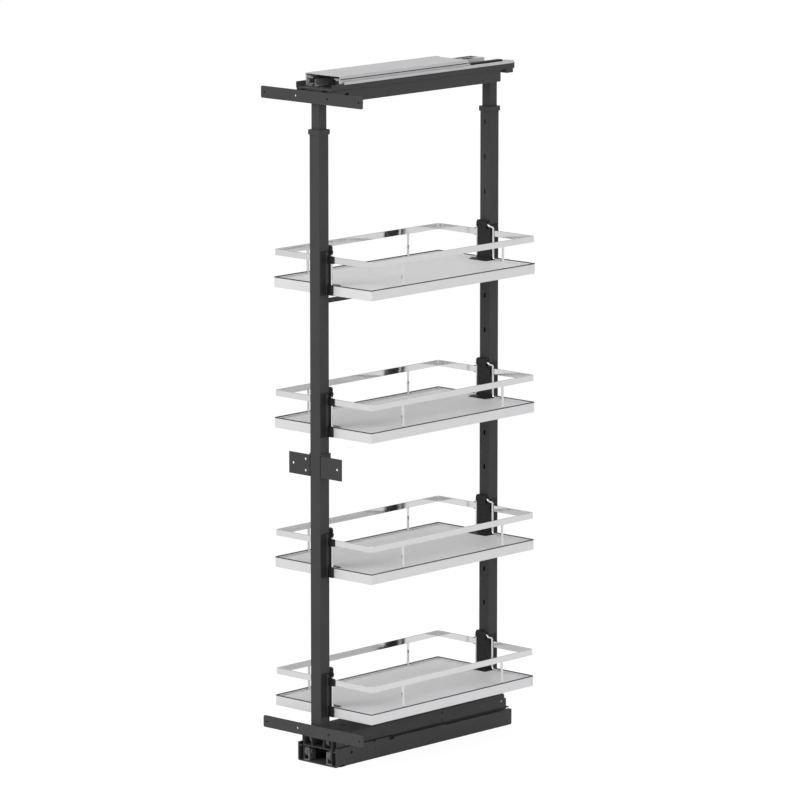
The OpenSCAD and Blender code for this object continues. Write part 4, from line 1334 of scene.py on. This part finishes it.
@dataclass
class TopSlide:
    """The middle slides, their balls and the plate under the cabinet's top."""

    shop: Shop
    track_z0: float = 1280.3
    track_h: float = 18.2
    track_t: float = 1.4
    gap: float = 1.6
    ball_x: float = 35.0
    first_y: float = -205.0
    cage_len: float = 333.0
    plate_top: float = 1303.8
    plate_y0: float = -224.5
    plate_len: float = 350.0

    def build(self) -> None:
        """Makes every piece of the top slide."""
        shop = self.shop
        shop.work("middle_tracks", Body.TOP_SLIDES, Round(0.55, 3, 20.0), Round(0.2, 2, clamp=False))
        shop.work("outer_tracks", Body.TOP_PLATE, Round(0.5, 3, 20.0), Round(0.2, 2, clamp=False))
        sinks = Blank()
        for x, y in self.rivet_spots():
            sinks.turned(((0.0, -0.5), (1.6, -0.5), (2.9, 0.4), (0.0, 0.4)),
                         (x, y, self.plate_top - 0.15), steps=20)
        plate = shop.blank("mounting_plate").round(bend(1.6, near(2, self.plate_top), steps=5), BREAK)
        plate.less(sinks).piece("mounting_plate_worked", Coat.SILVER, Body.TOP_PLATE, "mounting_plate")
        self.balls()
        self.rivets()
        self.shade_strips()

    def levels(self) -> list[float]:
        """Returns the height of each row of balls."""
        nest = self.track_t + self.gap
        low = [self.track_z0 + self.track_t + self.gap / 2 + n * nest for n in (0, 1)]
        return low + [2 * self.track_z0 + self.track_h - z for z in low]

    def balls(self) -> None:
        """Sets the balls and their cages, with black fills near the cages' front ends and black blocks at the
        inner tracks' front ends; the fills and blocks are painted shade in the gaps between the nested
        profiles.
        """
        rows = [(s * self.ball_x, self.first_y, z) for s in SIDES for z in self.levels()]
        mesh = Rule.BALLS.run(rows, Balls=54, Pitch=0.0062, Radius=0.00079)
        Blank().take(mesh).piece("slide_balls", Coat.CHROME, Body.TOP_SLIDES, crease=180.0)
        cage_and_shade = Blank()
        y0, y1 = self.first_y - 5.0, self.first_y + self.cage_len
        for z in self.levels():
            cage_and_shade.pair((self.ball_x - 3.4, y0, z - 0.25), (self.ball_x + 3.4, y1, z + 0.25))
        cage_and_shade.round(Round(0.12, 1, 5.0))
        # Black fills across the gaps near the front end: painted shade.
        for z in self.levels():
            cage_and_shade.pair((29.4, -220.2, z - 0.76), (39.1, -206.0, z + 0.76))
        cage_and_shade.piece("ball_cages", Coat.BLACK, Body.TOP_SLIDES)
        # Black blocks at the inner tracks' front end: painted shade in the gaps.
        middle = self.track_z0 + self.track_h / 2
        ends = Blank().pair((28.7, -217.0, middle - 1.65), (38.4, -204.0, middle + 1.65))
        ends.pair((28.7, -218.9, middle - 3.0), (38.4, -216.6, middle + 3.0))
        ends.round(Round(0.3, 2)).piece("inner_track_stops", Coat.BLACK, Body.UPPER)

    def rivet_spots(self) -> list[tuple[float, float]]:
        """Returns the places of the plate's flush rivets."""
        return [(s * 30.0, self.plate_y0 + 22.0 + 102.0 * k) for s in SIDES for k in range(4)]

    def rivets(self) -> None:
        """Rivets the plate to the outer profiles, with flush dark heads."""
        heads = Blank()
        for x, y in self.rivet_spots():
            heads.turned(((0.0, -1.4), (1.4, -1.4), (1.4, -0.45), (2.2, 0.0), (0.0, 0.0)),
                         (x, y, self.plate_top - 0.12), steps=20)
        heads.piece("plate_rivets", Coat.ZINC, Body.TOP_PLATE)

    def shade_strips(self) -> None:
        """Lays black strips in the plate's grooves and on the middle slides: painted shade for the shadow
        gaps under the plate's lip and beside the edge strips.
        """
        y0, y1 = self.plate_y0 + 1.0, self.plate_y0 + self.plate_len - 1.0
        # Both sets of black strips are painted shade, standing for shadow gaps.
        shade_strips, shade_fills = Blank().pair((43.0, y0, 1296.6), (43.55, y1, 1298.2)), Blank()
        section = ((30.0, 1295.5), (41.1, 1295.5), (41.1, 1291.0), (40.7, 1291.0), (40.7, 1296.0),
                   (30.0, 1296.0))
        for s in SIDES:
            shade_fills.prism(tuple((s * x, z) for x, z in section), 1, 136.0, 226.0)
        shade_strips.piece("plate_seals", Coat.BLACK, Body.TOP_PLATE)
        shade_fills.piece("slide_liners", Coat.BLACK, Body.TOP_SLIDES)


@dataclass
class Tray:
    """One tray: rim, base, gallery rail, wire hoops and hangers."""

    shop: Shop
    number: int
    half_x: float = 125.0
    half_y: float = 227.5
    pitch: float = 267.2
    first: float = 112.0
    post_face: float = 222.5
    base_top: float = -4.5
    rail_inset: float = 0.7
    rail_t: float = 2.5
    rail_h: float = 12.0
    rail_rise: float = 52.4
    rail_end: float = 23.2
    rail_corner: float = 4.5
    notch: float = 23.4
    wire_r: float = 2.0
    leg_x: float = 20.6
    leg_y: float = -1.2
    lean_y: float = 4.6
    shoulder: float = 58.0
    strut_x: float = 122.2
    strut_y: float = 138.5

    @property
    def top(self) -> float:
        """Height of the rim's top edge."""
        return self.first + (self.number - 1) * self.pitch

    @property
    def body(self) -> Body:
        """The body that the tray rides on."""
        return Body(f"tray_{self.number}")

    def name(self, part: str) -> str:
        """Names a piece or node of this tray."""
        return f"tray_{self.number}_{part}"

    def build(self) -> None:
        """Makes every piece of the tray."""
        self.rim()
        self.shop.work(self.name("base"), self.body, Round(0.4, 2, clamp=False))
        self.rail()
        self.hoops()
        self.hangers()

    def halves(self, half_x: float, half_y: float, start: float, z: float) -> tuple[list, list]:
        """Draws the two U-shaped paths round the tray's sides.

        Args:
            half_x: Half width of the path.
            half_y: Half depth of the path.
            start: Distance of its ends from the middle.
            z: Its height over the rim's top edge.

        Returns:
            The points and their links.
        """
        points, links = [], []
        course = ((start, -half_y), (half_x, -half_y), (half_x, half_y), (start, half_y))
        for s in SIDES:
            first = len(points)
            points += [(s * x, y, self.top + z) for x, y in course]
            links += [(first + k, first + k + 1) for k in range(3)]
        return points, links

    def hangers(self) -> None:
        """Makes the two hangers with their steel guide plates and foot pads."""
        guides, pads = Blank(), Blank()
        for s, end in ((-1, "front_hanger"), (1, "rear_hanger")):
            def span(low: float, high: float, end_sign: int = s) -> tuple[float, float]:
                """Turns distances from the post's face towards the tray into Y."""
                return tuple(sorted(end_sign * (self.post_face - y) for y in (low, high)))
            room = Blank()
            y0, y1 = span(-1.9, 4.0)
            room.pair((16.4, y0, self.top + 37.0), (31.0, y1, self.top + 56.0))
            hanger = self.shop.blank(self.name(end)).less(room).round(Round(0.35, 2, clamp=False))
            hanger.piece(self.name(end) + "_worked", Coat.BLACK, self.body, self.name(end))
            y0, y1 = span(-13.6, -4.8)
            guides.pair((14.4, y0, self.top - 18.0), (15.15, y1, self.top + 61.0))
            y0, y1 = span(2.2, 21.0)
            pads.box((-22.5, y0, self.top + self.base_top), (22.5, y1, self.top + self.base_top + 1.2))
        guides.round(Round(0.3, 2)).piece(self.name("guide_plates"), Coat.ANTHRACITE, self.body)
        pads.round(Round(0.4, 2)).piece(self.name("foot_pads"), Coat.BLACK, self.body)

    def rim(self) -> None:
        """Makes the folded rim and a painted shade line of dark wires along its top edge."""
        rim = self.shop.blank(self.name("rim")).round(Round(0.3, 2, clamp=False))
        rim.piece(self.name("rim_worked"), Coat.RIM, self.body, self.name("rim"))
        shade_line = Blank()
        # Two dark wires along the top edge: painted shade, not a part of the tray.
        for inset, radius in ((0.45, 1.05), (1.3, 0.95)):
            points, links = self.halves(self.half_x - inset, self.half_y - inset, self.notch + 0.2, -0.95)
            shade_line.take(Rule.ROUND_WIRE.run(points, links, Radius=radius * MM,
                                          Corner_radius=(3.05 - inset) * MM, Sides=12))
        shade_line.piece(self.name("rim_trim"), Coat.COLLAR, self.body)

    def rail(self) -> None:
        """Makes the gallery rail and its struts."""
        inset = self.rail_inset + self.rail_t / 2
        points, links = self.halves(self.half_x - inset, self.half_y - inset, self.rail_end,
                                    self.rail_rise - self.rail_h / 2)
        mesh = Rule.FLAT_BAR.run(points, links, Thickness=self.rail_t * MM, Height=self.rail_h * MM,
                                 Corner_radius=(self.rail_corner - self.rail_t / 2) * MM,
                                 Edge_radius=0.0007)
        Blank().take(mesh).piece(self.name("rail_worked"), Coat.CHROME, self.body, self.name("rail"))
        struts = Blank()
        for x in (-self.strut_x, self.strut_x):
            for y in (-self.strut_y, self.strut_y):
                struts.box((x - 1.0, y - 2.5, self.top + self.base_top),
                           (x + 1.0, y + 2.5, self.top + self.rail_rise - self.rail_h))
        struts.round(Round(0.7, 3)).piece(self.name("struts"), Coat.CHROME, self.body)

    def hoops(self) -> None:
        """Bends the wire hoops at the two posts, and the black sleeve on the front one."""
        z, foot = self.top, self.base_top + self.wire_r
        half = [(self.leg_x + 18.0, self.leg_y, foot), (self.leg_x, self.leg_y, foot),
                (self.leg_x, self.leg_y, self.shoulder), (self.leg_x - 3.1, self.lean_y, self.shoulder + 2.0),
                (7.0, self.lean_y, 66.0)]
        course = half + [(-x, y, h) for x, y, h in reversed(half)]
        points, links = [], []
        for s in SIDES:
            first = len(points)
            points += [(x, s * (self.post_face - y), z + h) for x, y, h in course]
            links += [(first + k, first + k + 1) for k in range(len(course) - 1)]
        mesh = Rule.ROUND_WIRE.run(points, links, Radius=self.wire_r * MM, Corner_radius=0.0045, Sides=14)
        Blank().take(mesh).piece(self.name("hoops_worked"), Coat.CHROME, self.body, self.name("hoops"))
        sleeve = [(x, y - self.post_face, z + h) for x, y, h in course[2:-2]]
        sleeve = [(self.leg_x, sleeve[0][1], z + 55.5)] + sleeve + [(-self.leg_x, sleeve[0][1], z + 55.5)]
        mesh = Rule.ROUND_WIRE.run(sleeve, [(k, k + 1) for k in range(len(sleeve) - 1)],
                                   Radius=(self.wire_r + 0.4) * MM, Corner_radius=0.0045, Sides=14)
        Blank().take(mesh).piece(self.name("wire_sleeve"), Coat.BLACK, self.body)


# ---------------------------------------------------------------- the photograph's studio


@dataclass
class Studio:
    """The pale room, its lamps and the camera at the photograph's place."""

    camera_at: tuple[float, float, float] = (7.519476, -8.093084, 2.638199)
    looking: tuple[float, float, float] = (-0.67073271, 0.72053848, -0.17590322)
    lens_mm: float = 266.950
    world_level: float = 0.66
    mirrored: float = 0.76
    ceiling: float = 0.12

    def camera(self) -> None:
        """Places the camera that the photograph was fitted with."""
        data = bpy.data.cameras.new("photo_camera")
        data.lens = self.lens_mm
        data.sensor_width = 36.0
        data.clip_end = 100.0
        cam = bpy.data.objects.new("photo_camera", data)
        cam.location = self.camera_at
        cam.rotation_euler = Vector(self.looking).to_track_quat("-Z", "Y").to_euler()
        bpy.context.scene.collection.objects.link(cam)
        bpy.context.scene.camera = cam

    def world(self) -> None:
        """Makes a soft pale surround that the camera and the metal see as white."""
        world = bpy.data.worlds.new("studio")
        bpy.context.scene.world = world
        world.use_nodes = True
        world.node_tree.nodes.clear()
        bench = NodeBench(world.node_tree)
        path = bench.add("ShaderNodeLightPath")
        seen = bench.math("MAXIMUM", path.outputs["Is Camera Ray"], path.outputs["Is Glossy Ray"])
        soft = bench.add("ShaderNodeBackground", None, Color=(1.0, 1.0, 1.0), Strength=self.world_level)
        sky = bench.add("ShaderNodeTexCoord").outputs["Generated"]
        way = bench.add("ShaderNodeSeparateXYZ", None, i0=sky)
        dim = bench.spread(way.outputs[2], 0.3, 0.75, self.mirrored, self.ceiling)
        plain = bench.add("ShaderNodeBackground", None, Color=(1.0, 1.0, 1.0),
                          Strength=bench.math("MAXIMUM", path.outputs["Is Camera Ray"], dim))
        mix = bench.add("ShaderNodeMixShader", None, i0=seen, i1=soft.outputs[0], i2=plain.outputs[0])
        out = bench.add("ShaderNodeOutputWorld")
        bench.fill(out.inputs["Surface"], mix.outputs[0])

    def lamp(self, name: str, at: Sequence[float], aim: Sequence[float], size: float, watts: float) -> None:
        """Adds a soft square lamp.

        Args:
            name: The lamp's name.
            at: Where it stands.
            aim: The point it faces.
            size: Side of the lamp in metres.
            watts: Its power.
        """
        data = bpy.data.lights.new(name, "AREA")
        data.size = size
        data.energy = watts
        lamp = bpy.data.objects.new(name, data)
        lamp.location = at
        lamp.rotation_euler = (Vector(aim) - Vector(at)).to_track_quat("-Z", "Y").to_euler()
        bpy.context.scene.collection.objects.link(lamp)

    def floor(self) -> None:
        """Lays a pale floor that keeps a faint shadow of the unit."""
        mesh = bpy.data.meshes.new("floor")
        half = 30.0
        corners = [(-half, -half, 0), (half, -half, 0), (half, half, 0), (-half, half, 0)]
        mesh.from_pydata(corners, [], [(0, 1, 2, 3)])
        floor = bpy.data.objects.new("floor", mesh)
        floor.location.z = -0.0005
        bpy.context.scene.collection.objects.link(floor)
        mat = bpy.data.materials.new("floor_paper")
        mat.use_nodes = True
        mat.node_tree.nodes.clear()
        bench = NodeBench(mat.node_tree)
        path = bench.add("ShaderNodeLightPath")
        seen = bench.math("MAXIMUM", path.outputs["Is Camera Ray"], path.outputs["Is Glossy Ray"])
        paper = bench.add("ShaderNodeBsdfDiffuse", None, Color=(0.85, 0.85, 0.85))
        level = bench.spread(path.outputs["Is Camera Ray"], 0.0, 1.0, self.mirrored, 1.05)
        glow = bench.add("ShaderNodeEmission", None, Color=(1.0, 1.0, 1.0), Strength=level)
        mix = bench.add("ShaderNodeMixShader", None, i0=bench.math("MULTIPLY", seen, 0.9),
                        i1=paper.outputs[0], i2=glow.outputs[0])
        out = bench.add("ShaderNodeOutputMaterial")
        bench.fill(out.inputs["Surface"], mix.outputs[0])
        mesh.materials.append(mat)

    def build(self) -> None:
        """Sets up camera, surround, lamps and floor."""
        self.camera()
        self.world()
        self.lamp("front_softbox", (-1.6, -4.2, 2.6), (0.0, 0.0, 0.7), 2.4, 85.0)
        self.lamp("side_softbox", (4.4, -0.8, 2.2), (0.0, 0.0, 0.7), 2.4, 48.0)
        self.lamp("overhead_softbox", (0.0, 0.3, 4.2), (0.0, 0.0, 0.6), 2.2, 42.0)
        self.floor()
        bpy.context.scene.view_settings.view_transform = "Standard"


def main() -> None:
    """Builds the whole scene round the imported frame."""
    logging.basicConfig(level=logging.INFO, format="%(message)s")
    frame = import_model()
    Studio().build()
    shop = Shop(frame["nodes"], {part["node"]: part["material_slot"] for part in frame["record"]["subparts"]})
    for assembly in (FloorRunner(shop), SlideStage(shop), Carriage(shop), UpperFrame(shop), TopSlide(shop),
                     *(Tray(shop, number) for number in (1, 2, 3, 4))):
        assembly.build()
        LOG.info("built %s", type(assembly).__name__)


if __name__ == "__main__":
    main()
